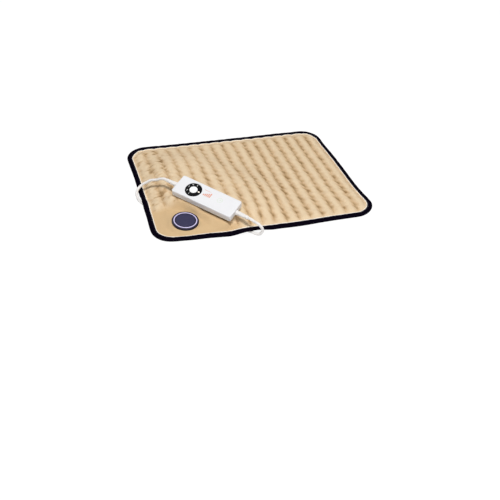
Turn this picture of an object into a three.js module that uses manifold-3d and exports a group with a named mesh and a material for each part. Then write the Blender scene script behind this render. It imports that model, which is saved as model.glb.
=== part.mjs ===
// Heating pad with an inline hand controller: millimetres, +Z up, pad centred on the origin.
// X runs along the pad's width, -Y is the front edge, and the underside rests on z = 0.
import * as THREE from "three";
import { mergeVertices } from "three/addons/utils/BufferGeometryUtils.js";
import Module from "manifold-3d";

const wasm = await Module();
wasm.setup();

// Pad outline and its cloth layers
const padWidth = 400;
const padDepth = 300;
const padCornerRadius = 38;
const bindingWidth = 9;
const bindingWall = 1;
const bindingLip = 0.8;
const backClothThickness = 0.7;
const feltThickness = 0.8;
const feltInset = 30;
const coverEdgeThickness = 1.4;
const coverSeamThickness = 1.6;
const puffHeight = 3.8;
const smoothCornerThickness = 2.6;
const channelCount = 17;
const layerGap = 0.3;
const hemOverlap = 1;
const edgeBand = 12;
const turnDownBand = 26;
const gridPitch = 27;
const cornerSlack = 6.5;
const cutOverrun = 5;
const patchSeamInset = 86;
const patchTurnInset = 72;
const patchSlope = THREE.MathUtils.degToRad(43.7);
const patchBlend = 12;

// Heating wire laid on the felt
const wireDiameter = 1.2;
const wireRunCount = 8;
const wireInset = 46;
const wireSideInset = 47;
const wireReturnOffset = 7;
const wireCorner = 9;
const wireEntry = 6;
const wireStraight = 20;
const wireSides = 5;
const wireKink = 0.08;
const patchMargin = 24;
const limiterLength = 9;
const limiterWidth = 5;
const limiterAlong = -30;

// Cords, the coil of spare mains cord and the plug
const cordDiameter = 5;
const cordSides = 8;
const cordStep = 7;
const cordStraight = 6;
const exitStraight = 4.5;
const coilLoops = 7.25;
const coilLayers = 2;
const coilDiameter = 60;
const coilTurnGap = 0.5;
const coilSteps = 24;
const coilSides = 6;
const coilAlong = -15;
const coilAcross = 58;
const coilStartAngle = THREE.MathUtils.degToRad(-5);
const coilRunOut = 18;
const runOutShares = [0.25, 0.5, 0.72, 1];
const tieAngle = THREE.MathUtils.degToRad(130);
const tieWidth = 6;
const tieThickness = 0.6;
const plugWidth = 35;
const plugLength = 37;
const plugThickness = 13.7;
const plugCorner = 5;
const plugNeckWidth = 20;
const plugNeckThickness = 11.6;
const plugShoulder = 9;
const plugPinDiameter = 4;
const plugPinLength = 19;
const plugPinSpacing = 18.6;
const plugPinSeat = 6;
const plugReliefLength = 22;
const reliefLength = 23.7;
const reliefRoot = 4.6;
const reliefTip = 3.1;
const reliefNeck = 3.6;
const reliefInner = 4.2;
const reliefCollar = 1.5;

// How far the pad is lifted over what lies under it
const liftClearance = 1.3;
const domeAcross = 55;
const domeBack = -88;
const domeFront = 20;
const highPlateau = 28;
const highRun = 60;
const lowPlateau = 60;
const lowRun = 50;
const leadPlateau = 22;
const mainsPlateau = 10;
const crossingPlateau = 9;
const crossingRun = 20;
const connectorPlateau = 17;
const connectorRun = 17;
const fullLiftInset = 42;

// Hand controller
const handsetLength = 118;
const handsetWidth = 40;
const handsetHeight = 19;
const handsetCorner = 3;
const handsetTopRound = 1.8;
const handsetTopStep = 0.5;
const handsetSplit = 11;
const handsetBellyInset = 6.5;
const handsetBellyHeight = 7;
const shellWall = 2;
const handsetX = -95.8;
const handsetY = -78.7;
const handsetYaw = THREE.MathUtils.degToRad(-47.1);
const handsetTilt = THREE.MathUtils.degToRad(15);
const handsetPitch = THREE.MathUtils.degToRad(4.3);
const seatGap = 0.3;
const seatStep = 1;
const seatLevels = 5;

// Keys of the controller
const ringRadius = 14.4;
const ringBore = 7.6;
const ringProud = 0.3;
const ringLip = 1.5;
const ringLipHeight = 1;
const ringEndRoom = 32.8;
const ringTiltTravel = THREE.MathUtils.degToRad(2.5);
const ringPostRadius = 1.5;
const keyGap = 0.45;
const keySpare = 0.2;
const buttonProud = 0.5;
const buttonLip = 1;
const buttonLipHeight = 0.8;
const buttonTravel = 0.8;
const buttonStemRadius = 2;
const windowLength = 3.2;
const windowWidth = 2;
const windowDepth = 2;
const lampOffset = 10.6;
const lampRadius = 1.5;
const lampHeight = 4;
const switchSize = 6;
const switchBody = 3;
const switchStemRadius = 1.7;
const switchStemHeight = 0.8;
const ringSwitchRadius = 11.3;

// Board, fixings and electrical pieces inside the controller
const pieceGap = 0.3;
const boardThickness = 1.6;
const boardEndRoom = 21;
const boardSideRoom = 5;
const standoffEndRoom = 4;
const standoffSideRoom = 4;
const standoffRadius = 2;
const boardPinRadius = 1;
const postRadius = 2.6;
const screwHeadRadius = 2.3;
const screwHeadHeight = 1.8;
const screwRadius = 1.2;
const shellScrewLength = 15.6;
const screwEndRoom = 8;
const screwSideRoom = 10;
const clampEndRoom = 13;
const clampLength = 5;
const clampWidth = 17;
const clampRoof = 1.3;
const clampScrewSpacing = 11.4;
const clampScrewLength = 9;
const clampHeadRadius = 1.9;
const clampHeadHeight = 1.2;
const terminalLength = 6;
const terminalWidth = 10;
const terminalHeight = 3.9;
const fuseRadius = 2;
const fuseLength = 15;
const fusePlaceShares = [0.192, 0.3];
const capacitorLength = 14;
const capacitorWidth = 6;
const capacitorHeight = 4.6;
const capacitorPlaceShares = [-0.04, -0.267];
const triacLength = 10;
const triacWidth = 9;
const triacHeight = 3.6;
const triacPlaceShares = [0.244, -0.2];

// Round connector in the smooth corner of the pad
const connectorInsetX = 59;
const connectorInsetY = 42;
const connectorTilt = THREE.MathUtils.degToRad(3.5);
const capPlaneHeight = 10.2;
const capRadius = 23;
const capHeight = 3.4;
const capEdgeRound = 0.9;
const capBarrelRadius = 16.5;
const capWall = 1.6;
const capCollarRun = 10;
const trimRingOuter = 20;
const trimRingInner = 18.2;
const trimRingHeight = 1.4;
const trimRingProud = 0.25;
const discRadius = 16.6;
const discHeight = 1.2;
const discEdge = 0.4;
const clothHoleGap = 0.8;
const baseRadius = 15;
const baseBottom = 9.1;
const baseFlangeRadius = 18.2;
const baseFlangeHeight = 1;
const baseFlangeDrop = 2.2;
const plugAxisHeight = 3.3;
const socketDepth = 9;
const tongueWidth = 11;
const tongueThickness = 2.6;
const leadPlugWidth = 14;
const leadPlugThickness = 4.8;
const leadPlugCorner = 1.5;
const leadPlugLength = 14;
const leadReliefWidth = 10;
const leadReliefThickness = 5.4;
const leadReliefTip = 5.8;
const contactRadius = 0.5;
const contactLength = 10;
const contactSeat = 3;
const contactSpacing = 7;
const connectorScrewY = 10.8;
const connectorScrewLength = 7.6;

// Numbers of facets
const roundSides = 28;
const smallSides = 12;
const screwSides = 8;
const padCornerSteps = 5;
const cornerSteps = 3;
const mergeTolerance = 1e-4;

const highLift = plugThickness + liftClearance;
const lowLift = cordDiameter + liftClearance;
const plugAxis = seatGap + plugThickness / 2;

// Places that follow the pad's corner and the controller's ends and sides
const patchSeamFront = patchSeamInset - padDepth / 2;
const patchTurnX = patchTurnInset - padWidth / 2;
const connectorX = connectorInsetX - padWidth / 2;
const connectorY = connectorInsetY - padDepth / 2;
const leadPlugReach = baseRadius + leadPlugLength + plugReliefLength + cordStraight;
const ringOffset = ringEndRoom - handsetLength / 2;
const boardLength = handsetLength - 2 * boardEndRoom;
const boardWidth = handsetWidth - 2 * boardSideRoom;
const standoffX = boardLength / 2 - standoffEndRoom;
const standoffY = boardWidth / 2 - standoffSideRoom;
const screwSpacingX = handsetLength - 2 * screwEndRoom;
const screwSpacingY = handsetWidth - 2 * screwSideRoom;
const clampX = handsetLength / 2 - clampEndRoom;

// Directions of the controller seen from above
const alongX = Math.cos(handsetYaw);
const alongY = Math.sin(handsetYaw);
const acrossX = -Math.sin(handsetYaw);
const acrossY = Math.cos(handsetYaw);

// Solids and meshes

function solidOf(geometry) {
  const bare = geometry.clone();
  bare.deleteAttribute("normal");
  bare.deleteAttribute("uv");
  const merged = mergeVertices(bare, mergeTolerance);
  const corners = merged.index.array;
  const kept = [];
  for (let i = 0; i < corners.length; i += 3) {
    const [a, b, c] = [corners[i], corners[i + 1], corners[i + 2]];
    if (a !== b && b !== c && c !== a) kept.push(a, b, c);
  }
  const vertProperties = new Float32Array(merged.attributes.position.array);
  return new wasm.Manifold(new wasm.Mesh({ numProp: 3, vertProperties, triVerts: new Uint32Array(kept) }));
}

function geometryOf(solid) {
  const mesh = solid.getMesh();
  const geometry = new THREE.BufferGeometry();
  geometry.setAttribute("position", new THREE.BufferAttribute(new Float32Array(mesh.vertProperties), 3));
  geometry.setIndex(new THREE.BufferAttribute(new Uint32Array(mesh.triVerts), 1));
  geometry.computeVertexNormals();
  return geometry;
}

function cutFrom(geometry, ...tools) {
  let solid = solidOf(geometry);
  for (const tool of tools) solid = solid.subtract(solidOf(tool));
  return geometryOf(solid);
}

function joined(geometry, ...others) {
  let solid = solidOf(geometry);
  for (const other of others) solid = solid.add(solidOf(other));
  return geometryOf(solid);
}

function common(geometry, other) {
  return geometryOf(solidOf(geometry).intersect(solidOf(other)));
}

const finish = (color, roughness, metalness = 0) =>
  new THREE.MeshStandardMaterial({ color, roughness, metalness });

function addPiece(parent, name, geometry, material) {
  const mesh = new THREE.Mesh(geometryOf(solidOf(geometry)), material);
  mesh.name = name;
  parent.add(mesh);
  return mesh;
}

// Basic forms, each standing on the height it is given

function roundedRect(width, depth, radius, steps = cornerSteps) {
  const points = [];
  const corners = [[1, 1, 0], [-1, 1, 1], [-1, -1, 2], [1, -1, 3]];
  for (const [sideX, sideY, quarter] of corners) {
    for (let step = 0; step <= steps; step++) {
      const angle = (quarter + step / steps) * Math.PI / 2;
      const x = sideX * (width / 2 - radius) + radius * Math.cos(angle);
      const y = sideY * (depth / 2 - radius) + radius * Math.sin(angle);
      points.push(new THREE.Vector2(x, y));
    }
  }
  return points;
}

function loft(sections) {
  const count = sections[0].points.length;
  const positions = [];
  const index = [];
  for (const { points, z } of sections) {
    for (const point of points) positions.push(point.x, point.y, z);
  }
  for (let level = 0; level < sections.length - 1; level++) {
    for (let i = 0; i < count; i++) {
      const next = (i + 1) % count;
      const low = level * count;
      const high = low + count;
      index.push(low + i, low + next, high + next, low + i, high + next, high + i);
    }
  }
  const faces = THREE.ShapeUtils.triangulateShape(sections[0].points, []);
  const top = (sections.length - 1) * count;
  for (const [a, b, c] of faces) {
    index.push(a, c, b, top + a, top + b, top + c);
  }
  const geometry = new THREE.BufferGeometry();
  geometry.setAttribute("position", new THREE.Float32BufferAttribute(positions, 3));
  geometry.setIndex(index);
  return geometry;
}

function prism(points, low, high) {
  return loft([{ points, z: low }, { points, z: high }]);
}

function block(length, width, low, high, x = 0, y = 0) {
  return new THREE.BoxGeometry(length, width, high - low).translate(x, y, (low + high) / 2);
}

function drum(radius, low, high, x = 0, y = 0, sides = roundSides) {
  const geometry = new THREE.CylinderGeometry(radius, radius, high - low, sides);
  return geometry.rotateX(Math.PI / 2).translate(x, y, (low + high) / 2);
}

function rodAlongX(radius, from, to, y, z, sides = smallSides) {
  const geometry = new THREE.CylinderGeometry(radius, radius, to - from, sides);
  return geometry.rotateZ(Math.PI / 2).translate((from + to) / 2, y, z);
}

// A solid of revolution about Z from [radius, height] pairs that run anticlockwise
function turned(profile, sides = roundSides) {
  const points = profile.map(([radius, height]) => new THREE.Vector2(radius, height));
  return new THREE.LatheGeometry(points, sides).rotateX(Math.PI / 2);
}

// The height field: how far the pad's underside stands above the ground

function smooth(value) {
  const t = Math.min(1, Math.max(0, value));
  return t * t * (3 - 2 * t);
}

function distanceToSegment(x, y, [fromX, fromY], [toX, toY]) {
  const runX = toX - fromX;
  const runY = toY - fromY;
  const t = ((x - fromX) * runX + (y - fromY) * runY) / (runX * runX + runY * runY);
  const clamped = Math.min(1, Math.max(0, t));
  return Math.hypot(x - fromX - clamped * runX, y - fromY - clamped * runY);
}

function insetAt(x, y) {
  const beyondX = Math.abs(x) - padWidth / 2 + padCornerRadius;
  const beyondY = Math.abs(y) - padDepth / 2 + padCornerRadius;
  if (beyondX > 0 && beyondY > 0) {
    return padCornerRadius - cornerSlack - Math.hypot(beyondX, beyondY);
  }
  return padCornerRadius - Math.max(beyondX, beyondY);
}

function fade(distance, plateau, run) {
  return 1 - smooth((distance - plateau) / run);
}

const beside = (along, across) => [
  handsetX + along * alongX + across * acrossX,
  handsetY + along * alongY + across * acrossY,
];
const domeEnds = [beside(domeBack, domeAcross), beside(domeFront, domeAcross)];
const coilCentre = beside(coilAlong, coilAcross);

// Routes of the cords between their fixed ends: places on the ground plan and heights of the centre line
const leadRoute = [
  [-163, -11.9, 36.6], [-168.6, -7.1, 32.2], [-174, -4, 30.6], [-179, -0.6, 27.7],
  [-184.9, 1.9, 22.8], [-189.2, 3.3, 20.4], [-193.9, 3.5, 16.8], [-198.2, 2.3, 13.9],
  [-202.3, -1.3, 10.9], [-204.5, -6.8, 8.1], [-205, -13.1, 5.5], [-203.9, -19.6, 3.8],
  [-201.6, -26, 2.9], [-198.4, -31.9, 2.7], [-193.6, -37.4, 2.7], [-187, -43.2, 2.7],
  [-178.4, -49.4, 2.7], [-168, -56, 2.7], [-154, -62.4, 2.7], [-137, -67.4, 2.7],
  [-120, -69.6, 2.7], [-103, -70.2, 2.7], [-88, -72.6, 2.7], [-76.4, -78.6, 2.8],
  [-70.8, -87.6, 2.9], [-71.2, -97.4, 3.1], [-76.2, -104.4, 3.2],
];
const mainsRoute = [
  [-34.1, -149.9, 24.5], [-31.1, -154.7, 24.4], [-26.2, -160.4, 22], [-22.3, -162.9, 16.1],
  [-22.2, -163.2, 10.3], [-25.1, -161.7, 5.4], [-30.1, -158.2, 2.9], [-36.6, -150.3, 3.1],
  [-41.2, -146.2, 2.7], [-44.2, -138.2, 2.7], [-46.4, -128.6, 2.7], [-47.2, -116.6, 2.7],
  [-45.4, -103.6, 2.7], [-41, -90, 2.7], [-35, -76.6, 2.8], [-29.2, -63, 3.1], [-25, -50, 3.5],
];
const leadCrossing = [[-206, -20], [-178, -60]];
const mainsCrossing = [[-36, -160], [-47, -124]];
const leadGround = [[-178, -60], [-84, -92]];
const mainsGround = [[-47, -124], [-24, -44]];
const connectorGround = [[connectorX, connectorY], [connectorX + leadPlugReach, connectorY]];

function liftAt(x, y) {
  const inset = insetAt(x, y);
  const clearOfEdge = smooth((inset - edgeBand) / (fullLiftInset - edgeBand));
  const fromDome = distanceToSegment(x, y, ...domeEnds);
  const high = fade(fromDome, highPlateau, highRun);
  const low = Math.max(
    fade(fromDome, lowPlateau, lowRun),
    fade(distanceToSegment(x, y, ...leadGround), leadPlateau, lowRun),
    fade(distanceToSegment(x, y, ...mainsGround), mainsPlateau, lowRun),
  );
  const crossing = Math.max(
    fade(distanceToSegment(x, y, ...leadCrossing), crossingPlateau, crossingRun),
    fade(distanceToSegment(x, y, ...mainsCrossing), crossingPlateau, crossingRun),
  );
  const rest = fade(distanceToSegment(x, y, ...connectorGround), connectorPlateau, connectorRun);
  const inside = clearOfEdge * (low * lowLift + high * (highLift - lowLift));
  return Math.max(inside, crossing * lowLift, rest * lowLift);
}

// Share of the smooth, unquilted corner at a place: 1 well inside it and 0 outside
function patchAt(x, y) {
  const behind = y - patchSeamFront;
  const beyond = (x - patchTurnX) * Math.sin(patchSlope) + behind * Math.cos(patchSlope);
  return 1 - smooth(Math.max(behind, beyond) / patchBlend + 1 / 2);
}

function insideAt(x, y) {
  const inset = insetAt(x, y);
  return Math.min(1, Math.max(0, (inset - edgeBand) / (turnDownBand - edgeBand)));
}

// Heights of the layers over the ground, from the underside up
const backLow = (x, y) => liftAt(x, y) + (1 - insideAt(x, y)) * (bindingLip + layerGap);
const backHigh = (x, y) => backLow(x, y) + backClothThickness;
const feltLow = (x, y) => backHigh(x, y) + layerGap;
const feltHigh = (x, y) => feltLow(x, y) + feltThickness;
const wireRoom = feltThickness + layerGap + wireDiameter + layerGap;
const coverLow = (x, y) =>
  backHigh(x, y) + layerGap + wireRoom * insideAt(x, y) * (1 - patchAt(x, y));
const bindingLow = (x, y) => liftAt(x, y);
const bindingHigh = (x, y) =>
  liftAt(x, y) + 2 * bindingLip + 3 * layerGap + backClothThickness + coverEdgeThickness;
const wireHeight = (x, y) =>
  backHigh(x, y) + layerGap + wireDiameter / 2
  + (feltThickness + layerGap) * insideAt(x, y) * (1 - patchAt(x, y));

const channelPitch = (padWidth - 2 * edgeBand) / channelCount;

function coverThicknessAt(x, y) {
  const phase = (x + padWidth / 2 - edgeBand) / channelPitch;
  const puff = Math.abs(Math.sin(Math.PI * phase));
  const quilted = coverSeamThickness + puffHeight * puff;
  const patch = patchAt(x, y);
  const inner = quilted + (smoothCornerThickness - quilted) * patch;
  return coverEdgeThickness + (inner - coverEdgeThickness) * insideAt(x, y);
}

const capPlaneAt = (y) => capPlaneHeight + (y - connectorY) * Math.tan(connectorTilt);

function coverHigh(underside, x, y) {
  const plain = underside + coverThicknessAt(x, y);
  const fromCap = Math.hypot(x - connectorX, y - connectorY);
  const collar = fade(fromCap, capRadius, capCollarRun);
  return plain + Math.max(0, capPlaneAt(y) - layerGap - plain) * collar;
}

// Grid lines across one direction of the pad, closer at the turned-down border
function gridLines(size, inner) {
  const half = size / 2;
  return [-half - cutOverrun, -half, ...inner, half, half + cutOverrun];
}

function evenLines(from, to, count) {
  return Array.from({ length: count + 1 }, (_, i) => from + (to - from) * i / count);
}

function coarseLines(size, ...added) {
  const reach = size / 2 - turnDownBand;
  const cells = Math.round(2 * reach / gridPitch);
  const band = size / 2 - edgeBand;
  const inner = [-band, ...added, ...evenLines(-reach, reach, cells), band];
  return gridLines(size, inner.sort((a, b) => a - b));
}

const columns = coarseLines(padWidth, connectorX - capRadius);
const rows = coarseLines(padDepth, connectorY - capRadius);
const channelColumns = gridLines(
  padWidth,
  evenLines(edgeBand - padWidth / 2, padWidth / 2 - edgeBand, 2 * channelCount),
);

const clampToPad = (x, y) => [
  Math.min(padWidth / 2, Math.max(-padWidth / 2, x)),
  Math.min(padDepth / 2, Math.max(-padDepth / 2, y)),
];

// A closed slab between two height functions that share one grid
function slab(lowAt, highAt, xLines, yLines) {
  const positions = [];
  const index = [];
  const nx = xLines.length;
  const ny = yLines.length;
  for (const heightAt of [lowAt, highAt]) {
    for (const y of yLines) {
      for (const x of xLines) positions.push(x, y, heightAt(...clampToPad(x, y)));
    }
  }
  const at = (level, i, j) => level * nx * ny + j * nx + i;
  for (let j = 0; j < ny - 1; j++) {
    for (let i = 0; i < nx - 1; i++) {
      const [a, b, c, d] = [at(1, i, j), at(1, i + 1, j), at(1, i + 1, j + 1), at(1, i, j + 1)];
      index.push(a, b, c, a, c, d);
      const [e, f, g, h] = [at(0, i, j), at(0, i + 1, j), at(0, i + 1, j + 1), at(0, i, j + 1)];
      index.push(e, g, f, e, h, g);
    }
  }
  const rim = [];
  for (let i = 0; i < nx - 1; i++) rim.push([i, 0]);
  for (let j = 0; j < ny - 1; j++) rim.push([nx - 1, j]);
  for (let i = nx - 1; i > 0; i--) rim.push([i, ny - 1]);
  for (let j = ny - 1; j > 0; j--) rim.push([0, j]);
  rim.forEach(([i, j], k) => {
    const [ni, nj] = rim[(k + 1) % rim.length];
    index.push(at(0, i, j), at(0, ni, nj), at(1, ni, nj), at(0, i, j), at(1, ni, nj), at(1, i, j));
  });
  const geometry = new THREE.BufferGeometry();
  geometry.setAttribute("position", new THREE.Float32BufferAttribute(positions, 3));
  geometry.setIndex(index);
  return geometry;
}

// Height of a function where the flat facets of a grid have it
function onFacets(heightAt, xLines, yLines, x, y) {
  const i = Math.max(1, xLines.findIndex((line) => line >= x)) - 1;
  const j = Math.max(1, yLines.findIndex((line) => line >= y)) - 1;
  const s = (x - xLines[i]) / (xLines[i + 1] - xLines[i]);
  const t = (y - yLines[j]) / (yLines[j + 1] - yLines[j]);
  const node = (p, q) => heightAt(...clampToPad(xLines[p], yLines[q]));
  const [a, c] = [node(i, j), node(i + 1, j + 1)];
  if (s >= t) return a + (node(i + 1, j) - a) * s + (c - node(i + 1, j)) * t;
  return a + (node(i, j + 1) - a) * t + (c - node(i, j + 1)) * s;
}

const onGrid = (heightAt, x, y) => onFacets(heightAt, columns, rows, x, y);

// Top of the cover, and the same where its own facets have it
const coverTop = (x, y) => coverHigh(onGrid(coverLow, x, y), x, y);

function coverTopAt(x, y) {
  if (insetAt(x, y) < 0) return 0;
  return onFacets(coverTop, channelColumns, rows, x, y);
}

const tallest = highLift + handsetHeight;

function padOutline(inset, low = -cutOverrun, high = tallest) {
  const radius = padCornerRadius - inset;
  return prism(roundedRect(padWidth - 2 * inset, padDepth - 2 * inset, radius, padCornerSteps), low, high);
}

const layerOf = (lowAt, highAt, inset) => common(slab(lowAt, highAt, columns, rows), padOutline(inset));

// A path that puts one section of its tube at each given point
class StationPath extends THREE.Curve {
  constructor(stations) {
    super();
    this.stations = stations;
  }
  getPoint(t) {
    const place = t * (this.stations.length - 1);
    const from = Math.min(this.stations.length - 2, Math.floor(place));
    return this.stations[from].clone().lerp(this.stations[from + 1], place - from);
  }
  getPointAt(u) {
    return this.getPoint(u);
  }
  getTangentAt(u) {
    const near = Math.round(u * (this.stations.length - 1));
    const before = this.stations[Math.max(0, near - 1)];
    const after = this.stations[Math.min(this.stations.length - 1, near + 1)];
    return after.clone().sub(before).normalize();
  }
  getSpacedPoints(divisions) {
    return Array.from({ length: divisions + 1 }, (_, i) => this.getPoint(i / divisions));
  }
}

function circleShape(radius, sides) {
  const outline = new THREE.Shape();
  for (let side = 0; side < sides; side++) {
    const angle = side / sides * Math.PI * 2;
    const x = radius * Math.cos(angle);
    const y = radius * Math.sin(angle);
    if (side === 0) outline.moveTo(x, y);
    else outline.lineTo(x, y);
  }
  return outline;
}

function tubeThrough(stations, radius, sides) {
  const extrudePath = new StationPath(stations);
  return new THREE.ExtrudeGeometry(circleShape(radius, sides), { steps: stations.length - 1, extrudePath });
}

function cordThrough(points) {
  const curve = new THREE.CatmullRomCurve3(points);
  const stations = curve.getSpacedPoints(Math.round(curve.getLength() / cordStep));
  return tubeThrough(stations, cordDiameter / 2, cordSides);
}

// Heating wire: runs from front to back along every second grid line, both ends at the connector

const wireReach = padWidth / 2 - wireSideInset;
const wireLines = evenLines(-wireReach, wireReach, wireRunCount - 1);
const besideBarrel = (offset) => Math.sqrt(capBarrelRadius ** 2 - offset ** 2) + 2 * layerGap;

function wireCorners() {
  const back = padDepth / 2 - wireInset;
  const returnLine = connectorY - wireReturnOffset;
  const frontAt = (x) => {
    const seam = patchSeamFront - Math.max(0, x - patchTurnX) * Math.tan(patchSlope);
    return Math.max(-back, seam + patchMargin);
  };
  const start = connectorY + besideBarrel(wireEntry);
  const corners = [
    [connectorX - wireEntry, start],
    [connectorX - wireEntry, start + wireStraight],
    [wireLines[0], frontAt(wireLines[0])],
  ];
  for (let run = 0; run < wireRunCount; run += 2) {
    const isLast = run + 2 >= wireRunCount;
    const turnY = isLast ? returnLine : frontAt(wireLines[run + 1]);
    corners.push([wireLines[run], back], [wireLines[run + 1], back], [wireLines[run + 1], turnY]);
    if (!isLast) corners.push([wireLines[run + 2], turnY]);
  }
  corners.push([connectorX + besideBarrel(returnLine - connectorY), returnLine]);
  return corners.map(([x, y]) => new THREE.Vector2(x, y));
}

function rounded(corners, radius) {
  const path = [corners[0]];
  for (let i = 1; i < corners.length - 1; i++) {
    const into = corners[i].clone().sub(corners[i - 1]).normalize();
    const out = corners[i + 1].clone().sub(corners[i]).normalize();
    const start = corners[i].clone().addScaledVector(into, -radius);
    const end = corners[i].clone().addScaledVector(out, radius);
    const middle = start.clone().add(end).addScaledVector(corners[i], 2).divideScalar(4);
    path.push(start, middle, end);
  }
  path.push(corners[corners.length - 1]);
  return path;
}

// Shares of a leg at which it crosses the lines or the diagonals of the coarse grid
function crossings(from, to) {
  const shares = [];
  for (const x of columns) shares.push((x - from.x) / (to.x - from.x));
  for (const y of rows) shares.push((y - from.y) / (to.y - from.y));
  for (let i = 0; i < columns.length - 1; i++) {
    for (let j = 0; j < rows.length - 1; j++) {
      const slope = (rows[j + 1] - rows[j]) / (columns[i + 1] - columns[i]);
      const offDiagonal = (point) => point.y - rows[j] - (point.x - columns[i]) * slope;
      const share = offDiagonal(from) / (offDiagonal(from) - offDiagonal(to));
      const x = from.x + (to.x - from.x) * share;
      if (x > columns[i] && x < columns[i + 1]) shares.push(share);
    }
  }
  return shares.filter((share) => share > 0 && share < 1).sort((a, b) => a - b);
}

// Puts a plan path on a layer, with a point wherever the layer changes slope under it
function onLayer(path, heightAt) {
  const lifted = (point) => new THREE.Vector3(point.x, point.y, onGrid(heightAt, point.x, point.y));
  const points = [lifted(path[0])];
  for (let i = 1; i < path.length; i++) {
    const [from, to] = [path[i - 1], path[i]];
    for (const share of crossings(from, to)) points.push(lifted(from.clone().lerp(to, share)));
    points.push(lifted(to));
  }
  return withoutStraight(points);
}

function withoutStraight(points) {
  const kept = [points[0]];
  for (let i = 1; i < points.length - 1; i++) {
    const line = new THREE.Line3(kept[kept.length - 1], points[i + 1]);
    const nearest = line.closestPointToPoint(points[i], true, new THREE.Vector3());
    if (nearest.distanceTo(points[i]) > wireKink) kept.push(points[i]);
  }
  kept.push(points[points.length - 1]);
  return kept;
}

const wirePath = rounded(wireCorners(), wireCorner);

// Finishes

const cloth = finish(0xd9bf98, 0.95);
const felt = finish(0xe6e1d6, 1);
const backing = finish(0xcdb592, 0.95);
const bindingCloth = finish(0x211a2b, 0.8);
const resistanceWire = finish(0xb9b3a8, 0.6);
const whitePlastic = finish(0xf1f1f0, 0.35);
const whiteCord = finish(0xe9e6e4, 0.45);
const blackPlastic = finish(0x101014, 0.3);
const slatePlastic = finish(0x3d3f5c, 0.55);
const darkPlastic = finish(0x1a1028, 0.4);
const lilacPlastic = finish(0xd8d0f5, 0.3);
const brass = finish(0xc9a35a, 0.3, 1);
const steel = finish(0x9c9fa3, 0.35, 1);
const boardGreen = finish(0x2f6b45, 0.5);
const componentBlack = finish(0x1d1d1f, 0.6);
const filmYellow = finish(0xd8b24a, 0.4);
const clearGlass = finish(0xdfe8ea, 0.1);
const lampWhite = finish(0xffe9c4, 0.2);

const object = new THREE.Group();

const connector = new THREE.Group();
connector.position.set(connectorX, connectorY, capPlaneHeight);
connector.rotation.x = connectorTilt;
object.add(connector);

const handset = new THREE.Group();
handset.position.set(handsetX, handsetY, 0);
handset.rotation.set(handsetTilt, handsetPitch, handsetYaw, "ZYX");
object.add(handset);

function inWorld(group, geometry) {
  group.updateWorldMatrix(true, false);
  return geometry.clone().applyMatrix4(group.matrixWorld);
}

function placeInWorld(group, x, y, z) {
  group.updateWorldMatrix(true, false);
  return new THREE.Vector3(x, y, z).applyMatrix4(group.matrixWorld);
}

// The pad

function buildPad() {
  const hole = drum(capBarrelRadius + clothHoleGap, -cutOverrun, tallest, connectorX, connectorY);
  const capSpace = inWorld(connector, drum(capRadius + layerGap, -layerGap, tallest));
  const clothInset = bindingWall + layerGap;

  addPiece(object, "pad_back_cloth", cutFrom(layerOf(backLow, backHigh, clothInset), hole), backing);

  const feltFront = patchSeamFront + patchMargin;
  const feltTurn = patchTurnX + patchMargin * Math.tan(patchSlope / 2);
  const cornerCut = prism([
    new THREE.Vector2(-padWidth, -padDepth),
    new THREE.Vector2(feltTurn + (padDepth + feltFront) / Math.tan(patchSlope), -padDepth),
    new THREE.Vector2(feltTurn, feltFront),
    new THREE.Vector2(-padWidth, feltFront),
  ], -cutOverrun, tallest);
  addPiece(object, "wire_carrier_felt", cutFrom(layerOf(feltLow, feltHigh, feltInset), cornerCut), felt);

  const coverInset = bindingWidth + layerGap;
  const puffed = common(slab(() => -cutOverrun, coverTop, channelColumns, rows), padOutline(coverInset));
  const hem = cutFrom(
    layerOf(() => -cutOverrun, (x, y) => coverLow(x, y) + coverEdgeThickness, clothInset),
    padOutline(coverInset + hemOverlap),
  );
  const below = slab(() => -2 * cutOverrun, coverLow, columns, rows);
  const wirePoints = onLayer(wirePath, wireHeight);
  const groove = (points) => tubeThrough(points, wireDiameter / 2 + layerGap, wireSides);
  const isNear = ({ x, y, z }) => onGrid(coverLow, x, y) - z - wireDiameter / 2 < layerGap - wireKink;
  const firstFar = wirePoints.findIndex((point) => !isNear(point));
  const lastFar = wirePoints.findLastIndex((point) => !isNear(point));
  const grooves = [
    groove(beyondEnd(wirePoints.slice(0, firstFar + 1))),
    groove(beyondEnd(wirePoints.slice(lastFar).reverse())),
  ];
  const cover = cutFrom(joined(puffed, hem), below, hole, capSpace, ...grooves);
  addPiece(object, "pad_top_cover", cover, cloth);

  const fold = layerOf(
    (x, y) => bindingLow(x, y) + bindingLip,
    (x, y) => bindingHigh(x, y) - bindingLip,
    bindingWall,
  );
  const edge = cutFrom(layerOf(bindingLow, bindingHigh, 0), fold, padOutline(bindingWidth));
  addPiece(object, "edge_binding", edge, bindingCloth);

  addPiece(object, "heating_wire", tubeThrough(wirePoints, wireDiameter / 2, wireSides), resistanceWire);

  const limiterX = wireLines[wireRunCount - 2] + wireDiameter / 2 + layerGap + limiterWidth / 2;
  const limiterLow = feltHigh(limiterX, limiterAlong) + layerGap;
  const limiter = block(limiterWidth, limiterLength, limiterLow, limiterLow + wireDiameter, limiterX, limiterAlong);
  addPiece(object, "thermal_limiter", limiter, componentBlack);
}

// Lengthens a path at its start, so that a cut along it runs out of the cloth
function beyondEnd(points) {
  const out = points[0].clone().sub(points[1]).setLength(clothHoleGap + layerGap);
  return [points[0].clone().add(out), ...points];
}

// Screws stand head down with the head's outer face on zero
function screw(headRadius, headHeight, length) {
  return turned([
    [0, 0], [headRadius, 0], [headRadius, headHeight],
    [screwRadius, headHeight], [screwRadius, length], [0, length],
  ], screwSides);
}

const screwHoleRadius = screwRadius + pieceGap;

// Turns a form that stands along Z so that it runs along X, or along -X
const alongLength = (geometry, side = 1) => geometry.rotateY(side * Math.PI / 2);

// The connector, around the middle of the plane on which its cap rests

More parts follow.
